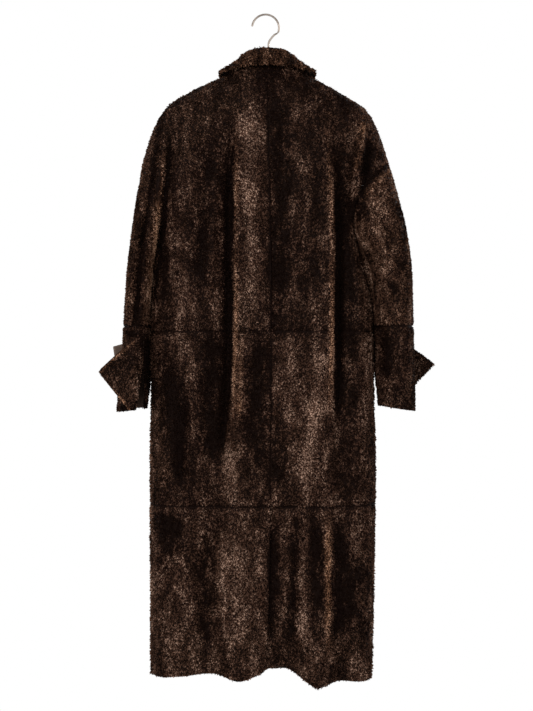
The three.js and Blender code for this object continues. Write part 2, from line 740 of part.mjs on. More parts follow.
function collarPieces() {
  const stand = (side, turn, t) => {
    const low = neckPoint(side, turn);
    const forward = ease((turn - 70) / 30);
    low.z += mix(standLift, frontLift, forward);
    low.x = mix(low.x, collarMiddle, 0.03 * forward);
    low.y *= mix(1, 0.94, forward);
    const high = collarRing(side, turn, collarFoldHalf, 'foldZ');
    high.z -= collarWall + foldPlay;
    return low.lerp(high, t);
  };
  const levels = collarRoll.length + fallSteps - 1;
  const fall = (side, turn, t) => {
    const fold = collarRing(side, turn, collarFoldHalf, 'foldZ');
    const away = new THREE.Vector3(fold.x - collarMiddle, fold.y, 0).normalize();
    const step = Math.round(t * levels);
    const { out, down } = collarRoll[Math.min(step, collarRoll.length - 1)];
    const rolled = fold.clone().addScaledVector(away, out).setZ(fold.z - down);
    if (step < collarRoll.length) return rolled;
    const edge = collarRing(side, turn, collarEdgeHalf, 'edgeZ');
    const point = rolled.lerp(edge, (step - collarRoll.length + 1) / fallSteps);
    if (turn <= 90) return point;
    const overFront = standOff('front', point.x, point.z) + collarWall + frontPlay;
    point.y = mix(point.y, Math.max(point.y, overFront), ease((turn - 88) / 16));
    return point;
  };
  const levelFoot = (out, i) => (i === 0 ? out.setZ(0) : out);
  return [
    collarStrip('collar_stand', collarWall, standEnd, 3, stand, levelFoot),
    collarStrip('collar_fall', collarWall, fallEnd, levels, fall, (out) => out),
  ];
}

// Top of the hanger's bar: it carries the shoulders from inside.
function barTop(x) {
  const side = x < barMiddle.x ? 'left' : 'right';
  const reach = Math.abs(x - neckMiddle);
  const shoulderZ = (place) => topZ('back', place, side);
  if (reach <= neckHalf) {
    const edge = 2 + sideSign(side) * (neckHalf + 1);
    return mix(barMiddle.z, shoulderZ(edge) - clothWall - barPlay - 2, ease((reach - 8) / (neckHalf - 8)));
  }
  const slope = (shoulderZ(x + 2) - shoulderZ(x - 2)) / 4;
  return shoulderZ(x) - (clothWall + barPlay) * Math.hypot(1, slope);
}

function hangerBar() {
  const steps = 40;
  const places = [];
  for (let i = 0; i <= steps; i += 1) places.push(mix(barEnds.left, barEnds.right, i / steps));
  const deep = (x) => mix(barMiddle.deep, barEndDeep, ease(Math.abs(x - barMiddle.x) / 200));
  const shape = new THREE.Shape();
  places.forEach((x, i) => (i ? shape.lineTo(x, barTop(x)) : shape.moveTo(x, barTop(x))));
  [...places].reverse().forEach((x) => shape.lineTo(x, barTop(x) - deep(x)));
  const geometry = new THREE.ExtrudeGeometry(shape, { depth: barThick, bevelEnabled: false });
  geometry.rotateX(Math.PI / 2).translate(0, barThick / 2, 0);
  const material = new THREE.MeshStandardMaterial({ color: colours.wood, roughness: 0.5, metalness: 0 });
  const mesh = new THREE.Mesh(geometry, material);
  mesh.name = 'hanger_bar';
  return mesh;
}

function hangerHook() {
  const centreZ = wireRound - hookRound;
  const points = [];
  for (let turn = 172; turn >= -24; turn -= 14) {
    const angle = radians(turn);
    points.push(new THREE.Vector3(hookRound * Math.cos(angle), 0, centreZ + hookRound * Math.sin(angle)));
  }
  shankPoints.forEach(({ x, z }) => points.push(new THREE.Vector3(x, 0, z)));
  points.push(new THREE.Vector3(barMiddle.x, 0, barMiddle.z + seamGap));
  const section = new THREE.Shape().absarc(0, 0, wireRound, 0, 2 * Math.PI);
  const path = new THREE.CatmullRomCurve3(points, false, 'centripetal');
  const sweep = { steps: hookSteps, extrudePath: path, curveSegments: 4 };
  const geometry = new THREE.ExtrudeGeometry(section, sweep);
  const material = new THREE.MeshStandardMaterial({ color: colours.steel, roughness: 0.25, metalness: 1 });
  const mesh = new THREE.Mesh(geometry, material);
  mesh.name = 'hanger_hook';
  return mesh;
}

const coat = new THREE.Group();
coat.add(...backPanels(), ...frontPanels());
for (const side of ['left', 'right']) coat.add(sleeveMesh(side), cuffMesh(side));
coat.add(...cuffFlaps.map(flapMesh), ...collarPieces(), hangerBar(), hangerHook());

export default coat;
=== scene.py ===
import math

import bmesh
import bpy
import numpy as np
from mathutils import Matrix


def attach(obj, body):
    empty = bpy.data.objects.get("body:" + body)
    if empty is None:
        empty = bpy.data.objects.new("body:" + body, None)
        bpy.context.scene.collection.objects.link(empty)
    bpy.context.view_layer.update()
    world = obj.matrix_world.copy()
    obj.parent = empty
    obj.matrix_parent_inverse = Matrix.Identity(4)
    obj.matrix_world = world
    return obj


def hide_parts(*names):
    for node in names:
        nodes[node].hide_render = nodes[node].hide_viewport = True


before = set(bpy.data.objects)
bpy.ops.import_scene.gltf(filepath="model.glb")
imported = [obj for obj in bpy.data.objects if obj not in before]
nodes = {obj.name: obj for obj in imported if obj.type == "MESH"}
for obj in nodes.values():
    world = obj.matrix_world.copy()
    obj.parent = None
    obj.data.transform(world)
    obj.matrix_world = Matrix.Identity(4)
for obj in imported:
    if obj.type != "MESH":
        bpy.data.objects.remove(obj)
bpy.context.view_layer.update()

# Metres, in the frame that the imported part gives. The coat's back faces -Y.

# A tuft leans by a sum of directions: off the cloth, downward, round a swirl and at random.
pile = {
    "tuftsPerSquareMetre": 225000,
    "hiddenShare": 0.36,
    "quickShare": 0.15,
    "length": 0.0038,
    "width": 0.0023,
    "sizes": (0.76, 1.16),
    "inset": 0.0016,
    "lift": 0.42,
    "downward": 0.55,
    "swirl": 1.9,
    "swirlSize": 0.011,
    "scatter": 0.24,
    "seed": 7,
    "leanSeed": 3,
    "spinSeed": 5,
    "sizeSeed": 9,
}

# The shape of one lock of pile, as shares of its length and of half its width.
lock = {"kneeHeight": 0.55, "kneeWidth": 0.9, "kneeBend": 0.10, "tipHeight": 0.92, "tipBend": 0.42}

# The warm colours go where the warmer brown shows: the warm painted rim highlights on ridges, flap
# edges and the outline, and the warmer wool of the collar and sleeves.
pileLook = {
    "dark": (0.0042, 0.0016, 0.0009),
    "middle": (0.066, 0.0320, 0.0200),
    "light": (0.370, 0.236, 0.172),
    "warmMiddle": (0.080, 0.0350, 0.0175),
    "warmLight": (0.330, 0.180, 0.108),
    "darkSpan": (0.0, 0.45),
    "lightSpan": (0.38, 1.0),
    "roughness": 0.62,
    "specular": 0.03,
    "sheen": 0.08,
    "sheenRoughness": 0.25,
    "sheenTint": (0.62, 0.30, 0.14),
}

# Shares that make up how light a tuft is from root to tip, and the ground under the tufts.
tuftShade = {"fine": 0.24, "shift": -0.06, "root": 0.38, "tip": 0.62}
groundShade = {"nap": 0.3, "fine": 0.10, "shift": -0.14, "relief": (0.8, 0.0012)}

suedeLook = {
    "suede": {"dark": (0.055, 0.035, 0.026), "light": (0.170, 0.118, 0.092), "sheen": 0.06},
    "lining": {"dark": (0.014, 0.0075, 0.005), "light": (0.048, 0.028, 0.019), "sheen": 0.0},
    "grainSize": 0.0016,
    "grainShare": 0.45,
    "wearSize": 0.03,
    "wearShare": 0.5,
    "relief": (0.5, 0.0006),
    "roughness": 0.9,
    "specular": 0.1,
}

steelLook = {
    "dark": (0.21, 0.175, 0.15),
    "light": (0.33, 0.285, 0.25),
    "edge": (0.45, 0.42, 0.40),
    "wearSize": 0.008,
    "roughness": (0.26, 0.14),
}

woodLook = {
    "dark": (0.22, 0.105, 0.045),
    "light": (0.42, 0.235, 0.11),
    "grainSize": 0.012,
    "grainStretch": (0.12, 1.0, 1.0),
    "roughness": (0.34, 0.12),
    "varnish": 0.3,
}

# Each panel's flat cut, as width and length and as an area, and what carries it. Where they differ
# from the rest: how much lighter its nap lies, how much of the warmer brown it has, how large its
# tufts are, what share of the pile's inset it has, how far its rims reach, whether the photo hides
# it, how much lighter the ground under sparse tufts is, and which side has fur.
panels = {
    "back_upper_left": {"flat": (0.28, 0.52), "area": 0.138, "hangsOn": "hanger_bar", "tone": -0.05},
    "back_upper_right": {"flat": (0.26, 0.52), "area": 0.12, "hangsOn": "hanger_bar", "tone": -0.05},
    "back_middle_left": {
        "flat": (0.29, 0.345), "area": 0.099, "hangsOn": "back_upper_left", "tone": -0.02,
    },
    "back_middle_right": {
        "flat": (0.26, 0.345), "area": 0.087, "hangsOn": "back_upper_right", "tone": 0.07,
    },
    "back_lower_left": {
        "flat": (0.29, 0.345), "area": 0.093, "hangsOn": "back_middle_left", "tone": 0.08,
    },
    "back_lower_right": {
        "flat": (0.31, 0.355), "area": 0.1, "hangsOn": "back_middle_right", "tone": 0.05,
    },
    "front_left": {
        "flat": (0.30, 1.20), "area": 0.325, "hangsOn": "hanger_bar",
        "tuftSize": 1.25, "hidden": True, "groundTone": 0.40,
    },
    "front_right": {
        "flat": (0.29, 1.20), "area": 0.305, "hangsOn": "hanger_bar",
        "tuftSize": 1.25, "hidden": True, "groundTone": 0.40,
    },
    "sleeve_left": {
        "flat": (0.25, 0.335), "area": 0.075, "hangsOn": "back_upper_left", "warmth": 0.2,
    },
    "sleeve_right": {
        "flat": (0.30, 0.335), "area": 0.09, "hangsOn": "back_upper_right",
        "tone": 0.13, "warmth": 0.2,
    },
    "cuff_left": {"flat": (0.28, 0.17), "area": 0.045, "hangsOn": "sleeve_left", "tone": -0.05},
    "cuff_right": {"flat": (0.28, 0.17), "area": 0.046, "hangsOn": "sleeve_right", "tone": -0.10},
    "cuff_flap_left": {"flat": (0.09, 0.14), "area": 0.0068, "hangsOn": "cuff_left", "tone": -0.06},
    "cuff_corner_left": {
        "flat": (0.06, 0.08), "area": 0.0034, "hangsOn": "cuff_left", "fur": "ahead",
    },
    "cuff_flap_right": {
        "flat": (0.09, 0.11), "area": 0.0074, "hangsOn": "cuff_right", "tone": -0.04, "fur": "all",
    },
    "collar_stand": {
        "flat": (0.42, 0.045), "area": 0.014, "hangsOn": "back_upper_left",
        "tone": -0.08, "tuftSize": 1.1, "insetShare": 0.6, "rimReach": 0.0035,
    },
    "collar_fall": {
        "flat": (0.50, 0.06), "area": 0.0235, "hangsOn": "collar_stand",
        "tone": 0.05, "warmth": 0.55, "tuftSize": 1.18, "insetShare": 0.1,
    },
}

# Middle of each sleeve as (z, x) points, and where the body's core ends.
sleeveMiddle = {
    "left": ((-0.792, -0.2675), (-0.602, -0.256), (-0.442, -0.242), (-0.292, -0.228)),
    "right": ((-0.792, 0.2625), (-0.602, 0.256), (-0.425, 0.230), (-0.292, 0.211)),
}
core = {"halfWidth": 0.15, "top": -0.24, "collarMiddle": 0.004}

# How squarely a face looks out of the garment to be furred, or into it to be lining.
facingOut = {"furred": 0.3, "inside": -0.35, "collarTop": 0.35}

# Folds laid over the ones that the panels have, seen from behind: a line of (x, z) points, how
# far it rises, with a trough below nought, and half its width.
foldsBehind = (
    {"line": ((-0.069, -0.24), (-0.071, -0.36), (-0.072, -0.50), (-0.071, -0.64), (-0.078, -0.78),
              (-0.088, -0.90)), "rise": -0.0095, "half": 0.0085},
    {"line": ((-0.054, -0.22), (-0.056, -0.34), (-0.056, -0.62), (-0.062, -0.84), (-0.068, -0.97)),
     "rise": 0.0042, "half": 0.0060},
    {"line": ((0.139, -0.27), (0.144, -0.36), (0.144, -0.52), (0.142, -0.66), (0.140, -0.82)),
     "rise": -0.0100, "half": 0.0085},
    {"line": ((0.118, -0.22), (0.128, -0.34), (0.130, -0.50), (0.127, -0.66), (0.123, -0.80)),
     "rise": 0.0042, "half": 0.0065},
    {"line": ((-0.111, -0.27), (-0.120, -0.37), (-0.129, -0.54)), "rise": -0.0062, "half": 0.010},
    {"line": ((-0.098, -0.30), (-0.103, -0.42), (-0.108, -0.56)), "rise": 0.0032, "half": 0.009},
    {"line": ((-0.142, -0.24), (-0.150, -0.36), (-0.158, -0.52)), "rise": 0.0026, "half": 0.013},
    {"line": ((-0.207, -0.225), (-0.216, -0.283), (-0.220, -0.322), (-0.232, -0.395),
              (-0.240, -0.449), (-0.245, -0.515), (-0.251, -0.593), (-0.253, -0.647)),
     "rise": -0.0080, "half": 0.0060},
    {"line": ((-0.197, -0.26), (-0.205, -0.34), (-0.216, -0.44), (-0.227, -0.535), (-0.235, -0.61)),
     "rise": 0.0044, "half": 0.0065},
    {"line": ((-0.187, -0.235), (-0.192, -0.34), (-0.204, -0.44), (-0.213, -0.53)), "rise": -0.0075,
     "half": 0.0060},
    {"line": ((-0.161, -0.76), (-0.168, -0.86), (-0.163, -0.95)), "rise": -0.0062, "half": 0.012},
    {"line": ((-0.135, -0.66), (-0.142, -0.78), (-0.139, -0.93)), "rise": 0.0035, "half": 0.013},
    {"line": ((-0.110, -0.70), (-0.116, -0.82), (-0.114, -0.92)), "rise": -0.0042, "half": 0.010},
    {"line": ((-0.196, -0.50), (-0.192, -0.62), (-0.198, -0.76)), "rise": -0.0034, "half": 0.012},
    {"line": ((0.192, -0.21), (0.182, -0.29), (0.173, -0.39)), "rise": 0.0050, "half": 0.0080},
    {"line": ((0.206, -0.25), (0.196, -0.33), (0.186, -0.42)), "rise": -0.0080, "half": 0.0075},
    {"line": ((0.158, -0.25), (0.154, -0.33), (0.160, -0.42)), "rise": -0.0040, "half": 0.010},
    {"line": ((0.183, -0.46), (0.186, -0.62), (0.180, -0.80)), "rise": 0.0038, "half": 0.011},
    {"line": ((0.030, -0.17), (0.034, -0.36), (0.032, -0.58)), "rise": -0.0030, "half": 0.012},
    {"line": ((-0.030, -0.18), (-0.028, -0.38), (-0.026, -0.60)), "rise": 0.0024, "half": 0.014},
    {"line": ((0.072, -0.22), (0.080, -0.36), (0.078, -0.50)), "rise": 0.0026, "half": 0.014},
    {"line": ((0.100, -0.30), (0.106, -0.42), (0.103, -0.56)), "rise": -0.0030, "half": 0.011},
    {"line": ((0.102, -0.64), (0.092, -0.80), (0.082, -0.96)), "rise": 0.0040, "half": 0.012},
    {"line": ((0.058, -0.66), (0.054, -0.80), (0.047, -0.94)), "rise": -0.0036, "half": 0.013},
    {"line": ((-0.030, -0.68), (-0.024, -0.80), (-0.030, -0.94)), "rise": -0.0034, "half": 0.012},
    {"line": ((0.079, -0.98), (0.079, -1.08), (0.068, -1.26)), "rise": 0.0048, "half": 0.0075},
    {"line": ((0.058, -1.00), (0.056, -1.12), (0.048, -1.25)), "rise": -0.0052, "half": 0.009},
    {"line": ((0.112, -1.02), (0.118, -1.14), (0.124, -1.27)), "rise": -0.0048, "half": 0.012},
    {"line": ((-0.074, -0.99), (-0.078, -1.12), (-0.066, -1.27)), "rise": 0.0048, "half": 0.012},
    {"line": ((-0.110, -0.99), (-0.118, -1.12), (-0.110, -1.28)), "rise": -0.0058, "half": 0.012},
    {"line": ((-0.032, -1.00), (-0.028, -1.12), (-0.024, -1.26)), "rise": -0.0048, "half": 0.011},
    {"line": ((-0.165, -1.02), (-0.170, -1.14), (-0.176, -1.27)), "rise": 0.0038, "half": 0.014},
    {"line": ((0.123, -0.97), (0.121, -1.10), (0.119, -1.27)), "rise": 0.0046, "half": 0.0065},
    {"line": ((-0.205, -0.98), (-0.200, -1.12), (-0.206, -1.26)), "rise": -0.0036, "half": 0.012},
    {"line": ((0.165, -0.98), (0.170, -1.12), (0.164, -1.28)), "rise": 0.0040, "half": 0.013},
    {"line": ((0.198, -0.90), (0.192, -1.06), (0.200, -1.22)), "rise": -0.0036, "half": 0.011},
    {"line": ((-0.236, -0.44), (-0.256, -0.47), (-0.272, -0.51)), "rise": -0.0030, "half": 0.008},
    {"line": ((-0.262, -0.36), (-0.268, -0.45), (-0.272, -0.55)), "rise": 0.0030, "half": 0.008},
    {"line": ((0.196, -0.36), (0.222, -0.40), (0.250, -0.47)), "rise": -0.0060, "half": 0.010},
    {"line": ((0.192, -0.41), (0.216, -0.46), (0.238, -0.54)), "rise": 0.0048, "half": 0.011},
    {"line": ((0.214, -0.47), (0.228, -0.53), (0.250, -0.60)), "rise": -0.0046, "half": 0.010},
    {"line": ((0.252, -0.34), (0.270, -0.42), (0.278, -0.52)), "rise": 0.0040, "half": 0.011},
    {"line": ((0.236, -0.43), (0.256, -0.47), (0.274, -0.54)), "rise": -0.0036, "half": 0.008},
    {"line": ((0.226, -0.60), (0.254, -0.58), (0.286, -0.61)), "rise": 0.0034, "half": 0.010},
    {"line": ((0.236, -0.66), (0.258, -0.70), (0.290, -0.70)), "rise": -0.0030, "half": 0.010},
)

# The same on the front, which the photo hides, so these are guessed.
foldsAhead = (
    {"line": ((-0.100, -0.24), (-0.112, -0.44), (-0.118, -0.66)), "rise": 0.0040, "half": 0.012},
    {"line": ((-0.076, -0.26), (-0.084, -0.48), (-0.086, -0.74)), "rise": -0.0050, "half": 0.010},
    {"line": ((0.096, -0.24), (0.110, -0.46), (0.114, -0.70)), "rise": 0.0040, "half": 0.012},
    {"line": ((0.070, -0.26), (0.082, -0.50), (0.084, -0.72)), "rise": -0.0050, "half": 0.010},
    {"line": ((-0.160, -0.70), (-0.166, -0.92), (-0.158, -1.16)), "rise": -0.0055, "half": 0.012},
    {"line": ((-0.104, -0.80), (-0.096, -1.02), (-0.100, -1.26)), "rise": 0.0045, "half": 0.013},
    {"line": ((0.158, -0.74), (0.150, -0.96), (0.156, -1.20)), "rise": -0.0055, "half": 0.012},
    {"line": ((0.092, -0.82), (0.084, -1.04), (0.092, -1.26)), "rise": 0.0045, "half": 0.013},
    {"line": ((0.194, -0.46), (0.188, -0.70), (0.196, -0.92)), "rise": 0.0034, "half": 0.012},
    {"line": ((-0.196, -0.44), (-0.190, -0.66), (-0.198, -0.90)), "rise": 0.0034, "half": 0.012},
    {"line": ((-0.224, -0.36), (-0.242, -0.42), (-0.262, -0.52)), "rise": -0.0045, "half": 0.010},
    {"line": ((-0.232, -0.58), (-0.256, -0.57), (-0.280, -0.60)), "rise": 0.0032, "half": 0.010},
    {"line": ((0.206, -0.37), (0.230, -0.42), (0.256, -0.50)), "rise": -0.0050, "half": 0.010},
    {"line": ((0.222, -0.52), (0.246, -0.56), (0.280, -0.57)), "rise": 0.0036, "half": 0.010},
)

# Strokes that lie lighter or darker, seen from behind: some are patches of nap, the others painted
# shade along fold troughs, beside the cuff flaps and between body and sleeves, and painted highlights
# along fold ridges and edges.
# Each has a line, how much, half the width, and how far the warm brown of a painted highlight shows
# there.
napAndPaintedLightStrokes = (
    {"line": ((-0.030, -0.16), (-0.026, -0.40), (-0.022, -0.63)), "tone": 0.48, "half": 0.020},
    {"line": ((-0.046, -0.64), (-0.050, -0.74), (-0.053, -0.82)), "tone": 0.50, "half": 0.0065,
     "warm": 0.7},
    {"line": ((-0.196, -0.70), (-0.188, -0.76), (-0.184, -0.82)), "tone": -0.55, "half": 0.020},
    {"line": ((-0.108, -0.64), (-0.102, -0.69), (-0.098, -0.74)), "tone": -0.50, "half": 0.016},
    {"line": ((-0.150, -0.64), (-0.146, -0.69), (-0.150, -0.73)), "tone": 0.30, "half": 0.010},
    {"line": ((-0.012, -0.64), (-0.016, -0.74), (-0.014, -0.82)), "tone": -0.40, "half": 0.014},
    {"line": ((0.034, -0.635), (0.050, -0.67), (0.054, -0.72)), "tone": 0.30, "half": 0.020},
    {"line": ((0.020, -0.78), (0.026, -0.86), (0.022, -0.94)), "tone": -0.36, "half": 0.014},
    {"line": ((-0.168, -0.53), (-0.160, -0.58), (-0.164, -0.62)), "tone": 0.34, "half": 0.014},
    {"line": ((-0.205, -0.30), (-0.196, -0.50), (-0.204, -0.62)), "tone": -0.30, "half": 0.010},
    {"line": ((-0.055, -0.20), (-0.0565, -0.62), (-0.064, -0.84)), "tone": 0.46, "half": 0.0042,
     "warm": 0.7},
    {"line": ((-0.070, -0.23), (-0.072, -0.50), (-0.074, -0.72), (-0.084, -0.90)), "tone": -0.75,
     "half": 0.011},
    {"line": ((-0.110, -0.26), (-0.120, -0.40), (-0.130, -0.56)), "tone": -0.42, "half": 0.012},
    {"line": ((-0.100, -0.62), (-0.096, -0.76), (-0.092, -0.90)), "tone": -0.50, "half": 0.016},
    {"line": ((-0.128, -0.30), (-0.118, -0.36), (-0.124, -0.46)), "tone": 0.26, "half": 0.008},
    {"line": ((0.026, -0.16), (0.030, -0.40), (0.028, -0.60)), "tone": -0.40, "half": 0.015},
    {"line": ((0.117, -0.22), (0.129, -0.40), (0.128, -0.66), (0.123, -0.82)), "tone": 0.62,
     "half": 0.0042, "warm": 0.8},
    {"line": ((0.141, -0.28), (0.144, -0.46), (0.143, -0.64), (0.141, -0.84)), "tone": -0.85,
     "half": 0.011},
    {"line": ((0.168, -0.40), (0.170, -0.60), (0.166, -0.84)), "tone": -0.34, "half": 0.020},
    {"line": ((0.104, -0.64), (0.094, -0.80), (0.072, -0.96)), "tone": 0.52, "half": 0.016},
    {"line": ((0.050, -0.66), (0.046, -0.80), (0.040, -0.94)), "tone": 0.18, "half": 0.018},
    {"line": ((-0.078, -0.84), (-0.070, -0.90), (-0.064, -0.985)), "tone": 0.60, "half": 0.018},
    {"line": ((0.079, -0.98), (0.079, -1.08), (0.067, -1.27)), "tone": 0.22, "half": 0.0050},
    {"line": ((0.010, -0.985), (0.0095, -1.10), (0.0085, -1.27)), "tone": -0.50, "half": 0.0045},
    {"line": ((-0.060, -1.00), (-0.058, -1.12), (-0.052, -1.26)), "tone": 0.22, "half": 0.014},
    {"line": ((0.060, -1.00), (0.057, -1.12), (0.049, -1.26)), "tone": -0.30, "half": 0.009},
    {"line": ((-0.164, -0.74), (-0.166, -0.84), (-0.165, -0.94)), "tone": -0.48, "half": 0.014},
    {"line": ((-0.078, -1.00), (-0.080, -1.12), (-0.070, -1.28)), "tone": 0.26, "half": 0.016},
    {"line": ((-0.115, -1.00), (-0.122, -1.12), (-0.116, -1.28)), "tone": -0.22, "half": 0.012},
    {"line": ((0.160, -1.00), (0.168, -1.12), (0.160, -1.28)), "tone": -0.20, "half": 0.022},
    {"line": ((-0.186, -0.225), (-0.192, -0.34), (-0.204, -0.44), (-0.214, -0.535), (-0.222, -0.60)),
     "tone": -0.85, "half": 0.0052},
    {"line": ((-0.207, -0.225), (-0.216, -0.283), (-0.220, -0.322), (-0.232, -0.395),
              (-0.240, -0.449), (-0.245, -0.515), (-0.251, -0.593), (-0.253, -0.647)),
     "tone": -0.70, "half": 0.0055},
    {"line": ((-0.197, -0.25), (-0.205, -0.34), (-0.216, -0.44), (-0.227, -0.535), (-0.235, -0.62)),
     "tone": 0.66, "half": 0.0048, "warm": 0.8},
    {"line": ((0.194, -0.20), (0.186, -0.26), (0.178, -0.33)), "tone": 0.34, "half": 0.0070,
     "warm": 0.8},
    {"line": ((0.214, -0.390), (0.231, -0.422), (0.246, -0.450)), "tone": -0.50, "half": 0.0045},
    {"line": ((0.224, -0.435), (0.238, -0.466), (0.244, -0.505)), "tone": -0.55, "half": 0.0050},
    {"line": ((0.248, -0.480), (0.262, -0.508)), "tone": -0.50, "half": 0.0045},
    {"line": ((0.234, -0.640), (0.246, -0.680), (0.242, -0.730)), "tone": -0.45, "half": 0.010},
    {"line": ((-0.216, -0.26), (-0.2305, -0.34), (-0.240, -0.46), (-0.249, -0.58)), "tone": 0.34,
     "half": 0.0050},
    {"line": ((0.207, -0.25), (0.196, -0.33), (0.186, -0.42)), "tone": -0.62, "half": 0.0085},
    {"line": ((0.214, -0.38), (0.236, -0.44), (0.250, -0.52)), "tone": 0.30, "half": 0.016},
    {"line": ((0.196, -0.44), (0.208, -0.52), (0.222, -0.60)), "tone": -0.36, "half": 0.009},
    {"line": ((-0.240, -0.63), (-0.235, -0.70), (-0.228, -0.785)), "tone": -0.95, "half": 0.0058},
    {"line": ((-0.232, -0.768), (-0.262, -0.792), (-0.285, -0.770)), "tone": -0.80, "half": 0.0070},
    {"line": ((-0.272, -0.640), (-0.256, -0.636), (-0.240, -0.640)), "tone": -0.55, "half": 0.0060},
    {"line": ((0.250, -0.292), (0.187, -0.353), (0.175, -0.384), (0.168, -0.420)), "tone": -0.95,
     "half": 0.0052},
    {"line": ((0.252, -0.306), (0.196, -0.362), (0.184, -0.396)), "tone": 0.40, "half": 0.0050,
     "warm": 0.6},
    {"line": ((0.194, -0.392), (0.212, -0.374), (0.234, -0.392)), "tone": 0.38, "half": 0.0080},
    {"line": ((0.204, -0.420), (0.226, -0.450), (0.242, -0.486)), "tone": 0.42, "half": 0.0065},
    {"line": ((0.222, -0.500), (0.236, -0.530), (0.240, -0.565)), "tone": 0.34, "half": 0.0085},
    {"line": ((0.228, -0.520), (0.250, -0.548), (0.264, -0.580)), "tone": -0.48, "half": 0.0060},
    {"line": ((0.258, -0.350), (0.272, -0.440), (0.280, -0.540)), "tone": -0.34, "half": 0.0120},
    {"line": ((0.218, -0.262), (0.202, -0.300), (0.192, -0.335)), "tone": -0.30, "half": 0.014},
    {"line": ((0.122, -0.965), (0.121, -1.08), (0.120, -1.27)), "tone": 0.50, "half": 0.0066,
     "warm": 1.0},
    {"line": ((0.100, -0.985), (0.099, -1.08), (0.094, -1.24)), "tone": -0.42, "half": 0.010},
    {"line": ((0.143, -0.985), (0.147, -1.10), (0.142, -1.24)), "tone": -0.42, "half": 0.014},
    {"line": ((0.021, -0.985), (0.018, -1.10), (0.012, -1.26)), "tone": -0.42, "half": 0.010},
    {"line": ((-0.196, -0.980), (-0.180, -1.02), (-0.160, -1.07)), "tone": -0.42, "half": 0.026},
    {"line": ((-0.130, -0.985), (-0.135, -1.02), (-0.142, -1.06)), "tone": 0.26, "half": 0.012},
    {"line": ((-0.028, -1.00), (-0.026, -1.12), (-0.022, -1.28)), "tone": 0.16, "half": 0.022},
    {"line": ((0.060, -0.985), (0.056, -1.03), (0.050, -1.07)), "tone": -0.34, "half": 0.012},
    {"line": ((0.050, -0.165), (0.070, -0.20), (0.078, -0.26)), "tone": 0.22, "half": 0.010},
)

# The same on the turned back corners of the cuffs: thin painted rim highlights in warm brown along
# their edges, and broader strokes that lie lighter or darker.
flapNapAndPaintedLight = (
    {"line": ((-0.335, -0.720), (-0.288, -0.680), (-0.240, -0.640)), "tone": 0.60, "half": 0.0034,
     "warm": 1.0},
    {"line": ((-0.335, -0.700), (-0.294, -0.748), (-0.255, -0.794)), "tone": 0.50, "half": 0.0030,
     "warm": 1.0},
    {"line": ((-0.252, -0.630), (-0.242, -0.704), (-0.232, -0.775)), "tone": 0.42, "half": 0.0030,
     "warm": 0.7},
    {"line": ((-0.312, -0.706), (-0.268, -0.690), (-0.258, -0.735)), "tone": -0.26, "half": 0.014},
    {"line": ((-0.268, -0.730), (-0.248, -0.765)), "tone": 0.30, "half": 0.012},
    {"line": ((0.276, -0.642), (0.306, -0.674), (0.338, -0.704)), "tone": 0.55, "half": 0.0032,
     "warm": 1.0},
    {"line": ((0.340, -0.685), (0.310, -0.720), (0.280, -0.756)), "tone": 0.50, "half": 0.0032,
     "warm": 1.0},
)

# Seams that show from behind, where the pile is short and lies down into the stitching. Each side
# of a seam reaches over the gap between the solids.
seams = {
    "centre": ((-0.974, 0.009), (-0.632, 0.011), (-0.330, 0.007), (-0.130, 0.003)),
    "waist": -0.632,
    "knee": -0.974,
    "sleeve": -0.621,
    "width": 0.0024,
    "depth": 0.0008,
    "darker": 0.42,
    "tuftSize": 0.85,
    "reach": 0.0006,
}

# Low waves all over the cloth: their height, and the turns of two waves along x and z.
ripple = {"height": 0.0009, "first": (61, 23, 0), "second": (-19, 47, 1.3)}

# Where each effect starts and is full, as distances ahead of or behind the side seams at y 0.
awayFromSide = {"folds": (0.004, 0.030), "swells": (0.003, 0.022), "strokes": (-0.004, 0.012)}
nearSide = (0.022, 0.004)

# Heights where the body, and distances from its middle where a sleeve, makes the outline.
outline = {"lowerBody": (-0.77, -0.84), "shoulders": (-0.36, -0.28), "sleeve": (0.0, 0.015)}

# A stroke fades in and out over these shares of its length, and varies along it by two waves of
# a height, turns along the line and a shift from one stroke to the next.
strokeShape = {"start": (-0.02, 0.22), "end": (1.02, 0.78), "waves": ((0.28, 7.3, 2.1), (0.12, 17, 1))}

# Painted light on the folds: how much lighter each ridge and darker each trough is painted for each
# metre that a fold rises or sinks, and how much lighter the painted rim highlight along the outline
# is.
foldShadeAndHighlight = {"behind": 18, "ahead": 60}
rimHighlight = 0.26

# Where a panel's front side swells sideways into the gap between the body and a sleeve: most at
# the edge's x and the height, over half a height, and no further than the width from that edge.
gapSwells = (
    {"panel": "front_right", "edge": 0.198, "height": -0.52, "half": 0.085, "out": 0.027},
    {"panel": "front_right", "edge": 0.184, "height": -0.465, "half": 0.042, "out": 0.026},
    {"panel": "front_right", "edge": 0.214, "height": -0.63, "half": 0.030, "out": 0.006},
    {"panel": "sleeve_right", "edge": 0.212, "height": -0.52, "half": 0.080, "out": -0.014},
    {"panel": "front_right", "edge": 0.217, "height": -0.68, "half": 0.085, "out": 0.017},
    {"panel": "cuff_right", "edge": 0.222, "height": -0.68, "half": 0.060, "out": -0.006},
    {"panel": "front_left", "edge": -0.229, "height": -0.66, "half": 0.090, "out": -0.022},
    {"panel": "front_left", "edge": -0.224, "height": -0.50, "half": 0.090, "out": -0.024},
    {"panel": "sleeve_left", "edge": -0.226, "height": -0.54, "half": 0.090, "out": 0.008},
    {"panel": "cuff_left", "edge": -0.232, "height": -0.68, "half": 0.060, "out": 0.007},
)
swellWidth = 0.045

shell = {
    "subdivisions": 2,
    "softEdge": 0.92,
    "rimAngle": math.radians(55),
    "weld": 0.00002,
    "quadFlatness": 0.6,
    "quadSkew": 1.2,
}

# Material slots of every shell.
shellPaints = {"ground": 0, "lining": 1, "suede": 2}

